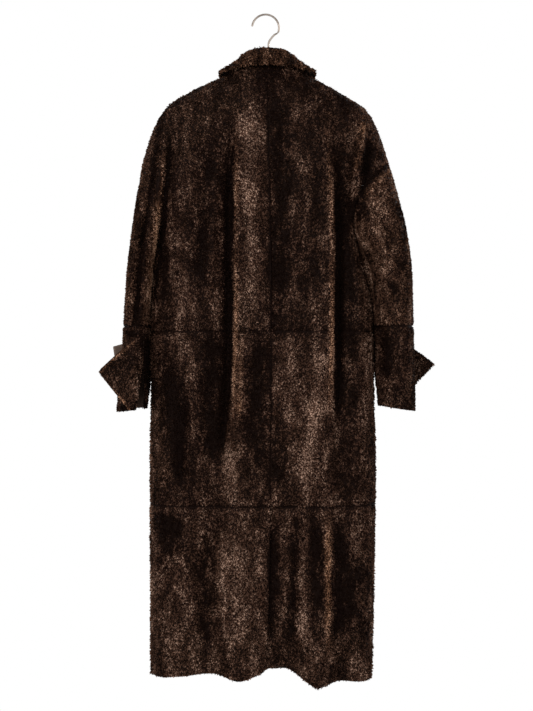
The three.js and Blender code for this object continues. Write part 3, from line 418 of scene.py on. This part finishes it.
# Patches of the nap: size in metres, detail, stretch, curl and the span of noise that counts.
patches = {
    "broad": {"size": 0.085, "detail": 1.0, "stretch": (1.5, 1.0, 0.5), "span": (0.34, 0.66)},
    "small": {"size": 0.030, "stretch": (1.4, 1.0, 0.55), "span": (0.38, 0.66)},
    "lock": {"size": 0.0085, "stretch": (1.1, 1.0, 0.85), "curl": 1.6, "span": (0.36, 0.60)},
    "fine": {"size": 0.0046, "detail": 1.0, "span": (0.3, 0.7)},
}
patchShares = {"broad": 0.20, "small": 0.14, "smallLock": 0.42, "lock": 0.24, "all": -0.08}

studio = {
    "floorHeight": -1.70,
    "floorHalf": 0.90,
    "floorDark": (0.86, 0.86, 0.86),
    "floorLight": (0.90, 0.90, 0.90),
    "floorPatch": 0.4,
    "floorRoughness": 0.9,
    "world": 1.0,
    "eyeHeight": -0.680,
    "eyeDistance": 2.2,
    "eyeX": 0.002,
    "frameHeight": 1.422,
    "film": 36.0,
}

lamps = (
    {"name": "key", "place": (-0.9, -2.2, 0.5), "size": 1.0, "watts": 46},
    {"name": "rim", "place": (1.4, 0.9, 0.5), "size": 0.8, "watts": 22},
    {"name": "fill", "place": (1.6, -1.9, -0.4), "size": 1.2, "watts": 8},
)


def smooth(low, high, value):
    t = np.clip((value - low) / (high - low), 0, 1)
    return t * t * (3 - 2 * t)


# Distance from a line of points, and how far along the line the nearest place is.
def lineDistance(x, z, line):
    points = np.array(line)
    steps = np.hypot(*(points[1:] - points[:-1]).T)
    total = steps.sum()
    nearest = np.full(len(x), np.inf)
    along = np.zeros(len(x))
    done = 0
    for start, end, length in zip(points[:-1], points[1:], steps):
        run = end - start
        t = np.clip(((x - start[0]) * run[0] + (z - start[1]) * run[1]) / length ** 2, 0, 1)
        gap = np.hypot(x - start[0] - t * run[0], z - start[1] - t * run[1])
        closer = gap < nearest
        nearest = np.where(closer, gap, nearest)
        along = np.where(closer, (done + t * length) / total, along)
        done += length
    return nearest, along


# Sum of soft strokes that taper at both ends and vary along their length.
def strokeField(x, z, strokes, key):
    field = np.zeros(len(x))
    for order, stroke in enumerate(strokes):
        gap, along = lineDistance(x, z, stroke["line"])
        taper = smooth(*strokeShape["start"], along) * smooth(*strokeShape["end"], along)
        uneven = 1
        for height, turns, shift in strokeShape["waves"]:
            uneven = uneven + height * np.sin(turns * along + shift * order)
        field += stroke.get(key, 0) * np.exp(-(gap / stroke["half"]) ** 2) * taper * uneven
    return field


def sideOf(name):
    return "left" if name.endswith("left") else "right"


def kindOf(name):
    return name.split("_")[0]


def isTurnedBack(name):
    return "flap" in name or "corner" in name


# The point inside the garment that each point of a panel faces away from.
def coreOf(name, p):
    inner = np.zeros_like(p)
    kind = kindOf(name)
    if kind in ("sleeve", "cuff"):
        table = np.array(sleeveMiddle[sideOf(name)])
        inner[:, 0] = np.interp(p[:, 2], table[:, 0], table[:, 1])
        inner[:, 2] = p[:, 2]
    elif kind == "collar":
        inner[:, 0] = core["collarMiddle"]
        inner[:, 2] = p[:, 2]
    else:
        inner[:, 0] = np.clip(p[:, 0], -core["halfWidth"], core["halfWidth"])
        inner[:, 2] = np.minimum(p[:, 2], core["top"])
    return inner


def unit(vectors):
    return vectors / np.maximum(np.linalg.norm(vectors, axis=1, keepdims=True), 1e-9)


def read(mesh, collection, field, width):
    values = np.zeros(len(getattr(mesh, collection)) * width)
    getattr(mesh, collection).foreach_get(field, values)
    return values.reshape(-1, width) if width > 1 else values


# The panel's solid as quads, with its edges kept fairly crisp, subdivided into a plain mesh.
def smoothShell(name):
    source = nodes[name].data.copy()
    work = bmesh.new()
    work.from_mesh(source)
    bmesh.ops.remove_doubles(work, verts=work.verts, dist=shell["weld"])
    bmesh.ops.join_triangles(
        work,
        faces=work.faces,
        angle_face_threshold=shell["quadFlatness"],
        angle_shape_threshold=shell["quadSkew"],
    )
    crease = work.edges.layers.float.new("crease_edge")
    for edge in work.edges:
        if len(edge.link_faces) == 2 and edge.calc_face_angle(0) > shell["rimAngle"]:
            edge[crease] = shell["softEdge"]
    for face in work.faces:
        face.smooth = True
    work.to_mesh(source)
    work.free()
    source.materials.clear()
    carrier = bpy.data.objects.new(name + "_carrier", source)
    bpy.context.scene.collection.objects.link(carrier)
    surface = carrier.modifiers.new("Smooth", "SUBSURF")
    surface.levels = shell["subdivisions"]
    surface.render_levels = shell["subdivisions"]
    graph = bpy.context.evaluated_depsgraph_get()
    mesh = bpy.data.meshes.new_from_object(carrier.evaluated_get(graph), depsgraph=graph)
    bpy.data.objects.remove(carrier)
    mesh.name = name + "_cloth"
    return mesh


# Faces that carry pile, and those on the inside.
def markFurred(mesh, name):
    centres = read(mesh, "polygons", "center", 3)
    normals = read(mesh, "polygons", "normal", 3)
    away = unit(centres - coreOf(name, centres))
    facing = np.einsum("ij,ij->i", normals, away)
    furred = facing > facingOut["furred"]
    if name == "collar_fall":
        furred |= (normals[:, 2] > facingOut["collarTop"]) & (facing > facingOut["inside"])
    inside = facing < facingOut["inside"]
    side = panels[name].get("fur")
    if side == "ahead":
        furred = normals[:, 1] > facingOut["furred"]
        inside = normals[:, 1] < -facingOut["furred"]
    elif side == "all":
        furred[:] = True
    return furred, inside & ~furred


# One on a seam line, fading out over the seam's width.
def seamField(name, p):
    kind = kindOf(name)
    if kind in ("sleeve", "cuff"):
        return np.exp(-((p[:, 2] - seams["sleeve"]) / seams["width"]) ** 2)
    if kind != "back":
        return np.zeros(len(p))
    table = np.array(seams["centre"])
    centre = p[:, 0] - np.interp(p[:, 2], table[:, 0], table[:, 1])
    field = np.where(p[:, 2] > seams["knee"], np.exp(-(centre / seams["width"]) ** 2), 0)
    for height in (seams["waist"], seams["knee"]):
        field = np.maximum(field, np.exp(-((p[:, 2] - height) / seams["width"]) ** 2))
    return field


# Sideways push in front of the side seam, most at the panel's edge and at one height.
def swellField(p, swell):
    ahead = smooth(*awayFromSide["swells"], p[:, 1])
    beside = smooth(swellWidth, 0.0, np.abs(p[:, 0] - swell["edge"]))
    level = np.exp(-((p[:, 2] - swell["height"]) / swell["half"]) ** 2)
    return swell["out"] * ahead * beside * level


# How far the folds behind and ahead lift each point, easing off where the two faces meet.
def foldHeight(name, p):
    if isTurnedBack(name) or kindOf(name) == "collar":
        return np.zeros(len(p))
    behind = smooth(*awayFromSide["folds"], -p[:, 1])
    ahead = smooth(*awayFromSide["folds"], p[:, 1])
    height = behind * strokeField(p[:, 0], p[:, 2], foldsBehind, "rise")
    return height + ahead * strokeField(p[:, 0], p[:, 2], foldsAhead, "rise")


# Which strokes a panel has, and one on the side behind, where they show.
def strokesOn(name, p):
    behind = smooth(*awayFromSide["strokes"], -p[:, 1])
    strokes = flapNapAndPaintedLight if "flap" in name else napAndPaintedLightStrokes
    return strokes, behind


# One where the cloth turns at the coat's outline, and nought further behind or ahead: where the
# painted rim highlight goes.
def paintedRimAt(name, p, behind):
    return (1 - behind) * smooth(*nearSide, p[:, 1]) * atOutline(name, p)


# How light the pile is at each point: strokes of nap and of painted shade and highlight behind,
# painted light on the folds' ridges and troughs, stronger ahead, and a painted rim highlight along the
# outline.
def toneAt(name, p):
    strokes, behind = strokesOn(name, p)
    # Strokes of nap, with painted shade and painted highlights among them.
    tone = behind * strokeField(p[:, 0], p[:, 2], strokes, "tone")
    # Painted light: ridges lighter and troughs darker as the folds rise and sink.
    tone += np.where(behind > 0.5, foldShadeAndHighlight["behind"], foldShadeAndHighlight["ahead"]) * foldHeight(name, p)
    # Painted rim highlight along the coat's outline.
    tone += rimHighlight * paintedRimAt(name, p, behind)
    return tone + panels[name].get("tone", 0) - seams["darker"] * seamField(name, p)


# How far the warmer brown shows: as warm painted highlights on some ridges, flap edges and along the
# outline, and over the collar.
def warmthAndRimLightAt(name, p):
    strokes, behind = strokesOn(name, p)
    warmth = behind * strokeField(p[:, 0], p[:, 2], strokes, "warm")
    # Warm painted rim highlight along the outline.
    warmth += paintedRimAt(name, p, behind)
    return np.clip(warmth + panels[name].get("warmth", 0), 0, 1)


# One where a panel makes the coat's outline, and nought on a side that faces another piece.
def atOutline(name, p):
    kind = kindOf(name)
    if kind == "collar" or "flap" in name:
        return np.zeros(len(p))
    if kind in ("sleeve", "cuff"):
        return smooth(*outline["sleeve"], np.abs(p[:, 0]) - np.abs(coreOf(name, p)[:, 0]))
    return smooth(*outline["lowerBody"], p[:, 2]) + smooth(*outline["shoulders"], p[:, 2])


# Mean direction out of the chosen faces round each vertex, and nought where there are none.
def facingNormals(mesh, chosen):
    corners = np.zeros(len(mesh.loops), int)
    mesh.loops.foreach_get("vertex_index", corners)
    counts = np.zeros(len(mesh.polygons), int)
    mesh.polygons.foreach_get("loop_total", counts)
    normals = read(mesh, "polygons", "normal", 3) * chosen[:, None]
    spread = np.repeat(normals, counts, axis=0)
    total = [np.bincount(corners, spread[:, axis], len(mesh.vertices)) for axis in range(3)]
    return unit(np.stack(total, axis=1))


def rippleAt(p):
    waves = [
        np.sin(alongX * p[:, 0] + alongZ * p[:, 2] + shift)
        for alongX, alongZ, shift in (ripple["first"], ripple["second"])
    ]
    return ripple["height"] * (waves[0] * waves[1])


# Sinks the pile's ground so that the tips reach the solid's face, closes the seams, and lays the
# folds and the swells over the shell.
def shapeCloth(mesh, name):
    detail = panels[name]
    p = read(mesh, "vertices", "co", 3)
    furred, inside = markFurred(mesh, name)
    seam = seamField(name, p)
    sink = pile["inset"] * detail.get("insetShare", 1) + seam * seams["depth"]
    move = -facingNormals(mesh, furred) * sink[:, None]
    reach = detail.get("rimReach", seams["reach"])
    move += facingNormals(mesh, ~(furred | inside)) * reach
    apart = smooth(*awayFromSide["folds"], np.abs(p[:, 1]))
    move[:, 1] += np.sign(p[:, 1]) * (foldHeight(name, p) + rippleAt(p) * apart)
    p += move
    for swell in gapSwells:
        if swell["panel"] == name:
            p[:, 0] += swellField(p, swell)
    mesh.vertices.foreach_set("co", p.ravel())
    addPointValues(mesh, "tone", toneAt(name, p) + detail.get("groundTone", 0))
    addPointValues(mesh, "warmth", warmthAndRimLightAt(name, p))
    size = (1 - (1 - seams["tuftSize"]) * seam) * detail.get("tuftSize", 1)
    addPointValues(mesh, "tuft", size)
    marker = mesh.attributes.new("furred", "BOOLEAN", "FACE")
    marker.data.foreach_set("value", furred)
    back = shellPaints["suede" if isTurnedBack(name) else "lining"]
    paints = np.where(inside, back, shellPaints["ground"]).astype(np.int32)
    mesh.polygons.foreach_set("material_index", paints)
    mesh.update()
    return float(read(mesh, "polygons", "area", 1)[furred].sum())


def addPointValues(mesh, name, values):
    layer = mesh.attributes.new(name, "FLOAT", "POINT")
    layer.data.foreach_set("value", values.astype(np.float32))


# A node's output socket, with sums and products that add Math nodes.
class Wire:
    def __init__(self, tree, socket):
        self.tree = tree
        self.socket = socket

    def node(self, kind, settings=None, inputs=None, output=0):
        made = self.tree.nodes.new(kind)
        for key, value in (settings or {}).items():
            setattr(made, key, value)
        for key, value in (inputs or {}).items():
            if isinstance(value, Wire):
                self.tree.links.new(value.socket, made.inputs[key])
            else:
                made.inputs[key].default_value = value
        return Wire(self.tree, made.outputs[output])

    def math(self, operation, other):
        return self.node("ShaderNodeMath", {"operation": operation}, {0: self, 1: other})

    def __add__(self, other):
        return self.math("ADD", other)

    def __mul__(self, other):
        return self.math("MULTIPLY", other)

    def within(self, low, high):
        span = {1: low, 2: high, 3: 0.0, 4: 1.0}
        settings = {"interpolation_type": "SMOOTHSTEP"}
        return self.node("ShaderNodeMapRange", settings, {0: self, **span})

    def mix(self, first, second):
        ends = {0: self}
        for slot, value in ((6, first), (7, second)):
            ends[slot] = value if isinstance(value, Wire) else (*value, 1.0)
        return self.node("ShaderNodeMix", {"data_type": "RGBA"}, ends, 2)


# An empty material, with a Wire that starts from object coordinates and its shader.
def newMaterial(name):
    material = bpy.data.materials.new(name)
    material.use_nodes = True
    tree = material.node_tree
    tree.nodes.clear()
    shader = tree.nodes.new("ShaderNodeBsdfPrincipled")
    output = tree.nodes.new("ShaderNodeOutputMaterial")
    tree.links.new(shader.outputs[0], output.inputs[0])
    coordinates = tree.nodes.new("ShaderNodeTexCoord")
    return material, Wire(tree, coordinates.outputs["Object"]), shader


def noise(place, size, detail=2.0, stretch=(1, 1, 1), curl=0.0):
    scaled = place.node("ShaderNodeMapping", {}, {0: place, 3: tuple(s / size for s in stretch)})
    inputs = {"Vector": scaled, "Scale": 1.0, "Detail": detail, "Distortion": curl}
    return place.node("ShaderNodeTexNoise", {}, inputs)


def join(wire, shader, key):
    wire.tree.links.new(wire.socket, shader.inputs[key])


def relief(height, strength, depth):
    inputs = {"Strength": strength, "Distance": depth, "Height": height}
    return height.node("ShaderNodeBump", {}, inputs)


def attribute(place, name):
    return place.node("ShaderNodeAttribute", {"attribute_name": name}, {}, "Fac")


def patch(place, kind):
    look = patches[kind]
    wire = noise(
        place,
        look["size"],
        look.get("detail", 2.0),
        look.get("stretch", (1, 1, 1)),
        look.get("curl", 0.0),
    )
    return wire.within(*look["span"])


# How light the pile is, from broad and small patches of nap and the listed strokes, which also carry
# painted shade in fold troughs, beside the cuff flaps and between body and sleeves, and painted
# highlights on ridges and along the outline.
def napAndPaintedLightTone(place):
    broad, small, locks = (patch(place, kind) for kind in ("broad", "small", "lock"))
    smallShare = locks * patchShares["smallLock"] + patchShares["small"]
    tone = broad * patchShares["broad"] + small * smallShare
    tone = tone + locks * patchShares["lock"] + patchShares["all"]
    return tone + attribute(place, "tone")


def setAll(shader, values):
    for key, value in values.items():
        shader.inputs[key].default_value = value


def pileMaterial(name, onTufts):
    material, place, shader = newMaterial(name)
    tone = napAndPaintedLightTone(place)
    fine = patch(place, "fine")
    if onTufts:
        along = attribute(place, "along")
        tone = tone + fine * tuftShade["fine"] + tuftShade["shift"]
        tone = tone * (along * tuftShade["tip"] + tuftShade["root"])
    else:
        tone = tone * groundShade["nap"] + fine * groundShade["fine"] + groundShade["shift"]
        join(relief(fine, *groundShade["relief"]), shader, "Normal")
    # The warmer brown is partly a warm painted rim highlight.
    warmth = attribute(place, "warmth")
    middle = warmth.mix(pileLook["middle"], pileLook["warmMiddle"])
    light = warmth.mix(pileLook["light"], pileLook["warmLight"])
    low = tone.within(*pileLook["darkSpan"]).mix(pileLook["dark"], middle)
    join(tone.within(*pileLook["lightSpan"]).mix(low, light), shader, "Base Color")
    setAll(shader, {
        "Roughness": pileLook["roughness"],
        "Specular IOR Level": pileLook["specular"],
        "Sheen Weight": pileLook["sheen"] if onTufts else 0.0,
        "Sheen Roughness": pileLook["sheenRoughness"],
        "Sheen Tint": (*pileLook["sheenTint"], 1.0),
    })
    return material


def suedeMaterial(name):
    material, place, shader = newMaterial(name)
    colours = suedeLook[name]
    grain = noise(place, suedeLook["grainSize"], 3.0).within(0.25, 0.75)
    worn = noise(place, suedeLook["wearSize"], 2.0).within(0.3, 0.7)
    shade = grain * suedeLook["grainShare"] + worn * suedeLook["wearShare"]
    join(shade.mix(colours["dark"], colours["light"]), shader, "Base Color")
    join(relief(grain, *suedeLook["relief"]), shader, "Normal")
    setAll(shader, {
        "Roughness": suedeLook["roughness"],
        "Specular IOR Level": suedeLook["specular"],
        "Sheen Weight": colours["sheen"],
    })
    return material


def woodMaterial():
    material, place, shader = newMaterial("hanger_wood")
    grain = noise(place, woodLook["grainSize"], 4.0, woodLook["grainStretch"]).within(0.3, 0.7)
    join(grain.mix(woodLook["dark"], woodLook["light"]), shader, "Base Color")
    least, more = woodLook["roughness"]
    join(grain * more + least, shader, "Roughness")
    setAll(shader, {"Coat Weight": woodLook["varnish"]})
    return material


def steelMaterial():
    material, place, shader = newMaterial("hanger_steel")
    worn = noise(place, steelLook["wearSize"], 3.0).within(0.3, 0.7)
    join(worn.mix(steelLook["dark"], steelLook["light"]), shader, "Base Color")
    least, more = steelLook["roughness"]
    join(worn * more + least, shader, "Roughness")
    setAll(shader, {"Metallic": 1.0, "Specular Tint": (*steelLook["edge"], 1.0)})
    return material


# One lock of pile, a quad and a triangle, rising along Z and bending towards Y.
def bladeMesh():
    half = pile["width"] / 2
    length = pile["length"]
    knee = lock["kneeHeight"]
    kneeHalf = half * lock["kneeWidth"]
    kneeBend = length * lock["kneeBend"]
    points = [
        (-half, 0, 0),
        (half, 0, 0),
        (kneeHalf, kneeBend, length * knee),
        (-kneeHalf, kneeBend, length * knee),
        (0, length * lock["tipBend"], length * lock["tipHeight"]),
    ]
    mesh = bpy.data.meshes.new("tuft")
    mesh.from_pydata(points, [], [(0, 1, 2, 3), (3, 2, 4)])
    addPointValues(mesh, "along", np.array([0, 0, knee, knee, 1]))
    for face in mesh.polygons:
        face.use_smooth = True
    return mesh


# Geometry nodes that stand tufts over a panel's furred faces, leaning down the garment.
def tuftTree(material, blade):
    tree = bpy.data.node_groups.new("tufts", "GeometryNodeTree")
    tree.interface.new_socket("Geometry", in_out="INPUT", socket_type="NodeSocketGeometry")
    tree.interface.new_socket("Geometry", in_out="OUTPUT", socket_type="NodeSocketGeometry")
    for name, kind in (
        ("Density", "NodeSocketFloat"),
        ("Seed", "NodeSocketInt"),
        ("Lift", "NodeSocketFloat"),
        ("Downward", "NodeSocketFloat"),
        ("Swirl", "NodeSocketFloat"),
        ("Scatter", "NodeSocketFloat"),
    ):
        tree.interface.new_socket(name, in_out="INPUT", socket_type=kind)
    start = tree.nodes.new("NodeGroupInput")
    end = tree.nodes.new("NodeGroupOutput")
    given = {s.name: Wire(tree, s) for s in start.outputs if s.name}
    root = given["Geometry"]

    def named(name, kind="FLOAT"):
        return root.node("GeometryNodeInputNamedAttribute", {"data_type": kind}, {"Name": name})

    def randomValue(kind, low, high, seed):
        picks = {"FLOAT": (2, 3, 1), "FLOAT_VECTOR": (0, 1, 0)}[kind]
        values = {picks[0]: low, picks[1]: high, "Seed": seed}
        return root.node("FunctionNodeRandomValue", {"data_type": kind}, values, picks[2])

    def vector(operation, first, second, slot=1):
        return root.node("ShaderNodeVectorMath", {"operation": operation}, {0: first, slot: second})

    scattered = root.node(
        "GeometryNodeDistributePointsOnFaces",
        {"distribute_method": "RANDOM"},
        {
            "Mesh": root,
            "Selection": named("furred", "BOOLEAN"),
            "Density": given["Density"],
            "Seed": given["Seed"],
        },
    )
    normal = Wire(tree, scattered.socket.node.outputs["Normal"])
    place = root.node("GeometryNodeInputPosition")
    swirl = root.node(
        "ShaderNodeTexNoise",
        {},
        {"Vector": place, "Scale": 1 / pile["swirlSize"], "Detail": 1.0},
        "Color",
    )
    swirl = vector("SCALE", vector("SUBTRACT", swirl, (0.5, 0.5, 0.5)), given["Swirl"], "Scale")
    loose = randomValue("FLOAT_VECTOR", (-1, -1, -1), (1, 1, 1), pile["leanSeed"])
    loose = vector("SCALE", loose, given["Scatter"], "Scale")
    down = vector("SCALE", (0.0, 0.0, -1.0), given["Downward"], "Scale")
    raised = vector("SCALE", normal, given["Lift"], "Scale")
    aim = vector("ADD", vector("ADD", raised, down), vector("ADD", swirl, loose))
    aligned = root.node("FunctionNodeAlignRotationToVector", {"axis": "Z"}, {"Vector": aim})
    spin = randomValue("FLOAT", 0.0, 2 * math.pi, pile["spinSeed"])
    spin = root.node("ShaderNodeCombineXYZ", {}, {"Z": spin})
    turned = root.node(
        "FunctionNodeRotateRotation", {"rotation_space": "LOCAL"}, {0: aligned, 1: spin}
    )
    size = randomValue("FLOAT", *pile["sizes"], pile["sizeSeed"]) * named("tuft")
    tuft = root.node("GeometryNodeObjectInfo", {}, {"Object": blade}, "Geometry")
    stood = root.node(
        "GeometryNodeInstanceOnPoints",
        {},
        {"Points": scattered, "Instance": tuft, "Rotation": turned, "Scale": size},
    )
    real = root.node("GeometryNodeRealizeInstances", {}, {0: stood})
    painted = root.node("GeometryNodeSetMaterial", {}, {"Geometry": real, "Material": material})
    tree.links.new(painted.socket, end.inputs[0])
    return tree


# Works the tone, with its painted shade and highlights, and the warmth out again at each tuft's root,
# finer than the cloth's own mesh.
def paintTufts(mesh, name, tuftPoints):
    p = read(mesh, "vertices", "co", 3).reshape(-1, tuftPoints, 3)
    for key, values in (("tone", toneAt(name, p[:, 0])), ("warmth", warmthAndRimLightAt(name, p[:, 0]))):
        mesh.attributes.remove(mesh.attributes[key])
        addPointValues(mesh, key, np.repeat(values, tuftPoints))


# Gives each tuft its own cell of the map, with a place for each corner of its two faces.
def layTuftsOut(mesh):
    foot = [(0.1, 0.05), (0.9, 0.05)]
    knee = [(0.82, 0.55), (0.18, 0.55)]
    corners = np.array([*foot, *knee, *knee[::-1], (0.5, 0.95)])
    tufts = len(mesh.loops) // len(corners)
    side = math.ceil(math.sqrt(tufts))
    order = np.arange(tufts)
    cells = np.stack([order % side, order // side], axis=1)
    places = (cells[:, None, :] + corners[None]) / side
    layer = mesh.uv_layers.new(name="OFBake")
    layer.data.foreach_set("uv", places.astype(np.float32).ravel())


# Stands the pile on one panel and returns it as a plain mesh of its own.
def growTufts(cloth, name, tree, tuftPoints):
    share = pile["hiddenShare"] if panels[name].get("hidden") else 1.0
    modifier = cloth.modifiers.new("Tufts", "NODES")
    modifier.node_group = tree
    values = {
        "Density": pile["tuftsPerSquareMetre"] * share,
        "Seed": pile["seed"] + len(name),
        "Lift": pile["lift"],
        "Downward": pile["downward"],
        "Swirl": pile["swirl"],
        "Scatter": pile["scatter"],
    }
    for item in tree.interface.items_tree:
        if item.item_type == "SOCKET" and item.in_out == "INPUT" and item.name in values:
            modifier[item.identifier] = values[item.name]
    graph = bpy.context.evaluated_depsgraph_get()
    mesh = bpy.data.meshes.new_from_object(
        cloth.evaluated_get(graph), preserve_all_data_layers=True, depsgraph=graph
    )
    cloth.modifiers.remove(modifier)
    mesh.name = name + "_pile"
    paintTufts(mesh, name, tuftPoints)
    layTuftsOut(mesh)
    tufts = bpy.data.objects.new(name + "_pile", mesh)
    bpy.context.scene.collection.objects.link(tufts)
    return tufts


def buildPanel(name, materials, tree, tuftPoints):
    mesh = smoothShell(name)
    area = shapeCloth(mesh, name)
    for paint in shellPaints:
        mesh.materials.append(materials[paint])
    cloth = bpy.data.objects.new(name + "_cloth", mesh)
    bpy.context.scene.collection.objects.link(cloth)
    tufts = growTufts(cloth, name, tree, tuftPoints)
    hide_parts(name)
    for piece in (cloth, tufts):
        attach(piece, "root")
    count = len(tufts.data.vertices) // tuftPoints
    print(f"panel {name}: {len(mesh.polygons)} faces, {count} tufts, furred {area:.3f} m2")


def buildCoat():
    materials = {
        "ground": pileMaterial("shearling_ground", False),
        "lining": suedeMaterial("lining"),
        "suede": suedeMaterial("suede"),
    }
    mesh = bladeMesh()
    blade = bpy.data.objects.new("tuft", mesh)
    bpy.context.scene.collection.objects.link(blade)
    tree = tuftTree(pileMaterial("shearling_pile", True), blade)
    for name, detail in panels.items():
        buildPanel(name, materials, tree, len(mesh.vertices))
    bpy.data.objects.remove(blade)


def dressHanger():
    for name, slot, material in (
        ("hanger_bar", "hanger_wood", woodMaterial()),
        ("hanger_hook", "hanger_steel", steelMaterial()),
    ):
        node = nodes[name]
        node.data.materials.clear()
        node.data.materials.append(material)
        for face in node.data.polygons:
            face.use_smooth = True
    print("hanger dressed")


def buildStudio():
    half = studio["floorHalf"]
    z = studio["floorHeight"]
    mesh = bpy.data.meshes.new("floor")
    corners = [(-half, -half, z), (half, -half, z), (half, half, z), (-half, half, z)]
    mesh.from_pydata(corners, [], [(0, 1, 2, 3)])
    floor = bpy.data.objects.new("floor", mesh)
    bpy.context.scene.collection.objects.link(floor)
    material, place, shader = newMaterial("floor")
    pale = noise(place, studio["floorPatch"]).mix(studio["floorDark"], studio["floorLight"])
    join(pale, shader, "Base Color")
    setAll(shader, {"Roughness": studio["floorRoughness"]})
    mesh.materials.append(material)
    world = bpy.data.worlds.new("studio")
    world.use_nodes = True
    background = world.node_tree.nodes["Background"]
    background.inputs[0].default_value = (1, 1, 1, 1)
    background.inputs[1].default_value = studio["world"]
    bpy.context.scene.world = world
    for lamp in lamps:
        addLamp(**lamp)
    print("studio ready")


# A square soft light that looks at the middle of the coat.
def addLamp(name, place, size, watts):
    light = bpy.data.lights.new(name, "AREA")
    light.size = size
    light.energy = watts
    lamp = bpy.data.objects.new(name, light)
    lamp.location = place
    target = np.array((0, 0, studio["eyeHeight"]))
    aim = unit((np.array(place) - target)[None])[0]
    lamp.rotation_euler = (math.acos(aim[2]), 0, math.atan2(aim[1], aim[0]) + math.pi / 2)
    bpy.context.scene.collection.objects.link(lamp)


def buildCamera():
    data = bpy.data.cameras.new("camera")
    data.sensor_fit = "AUTO"
    data.sensor_width = studio["film"]
    data.lens = studio["film"] * studio["eyeDistance"] / studio["frameHeight"]
    camera = bpy.data.objects.new("camera", data)
    camera.location = (studio["eyeX"], -studio["eyeDistance"], studio["eyeHeight"])
    camera.rotation_euler = (math.pi / 2, 0, 0)
    bpy.context.scene.collection.objects.link(camera)
    bpy.context.scene.camera = camera
    bpy.context.scene.view_settings.view_transform = "Standard"
    print("camera placed")


buildCoat()
dressHanger()
buildStudio()
buildCamera()
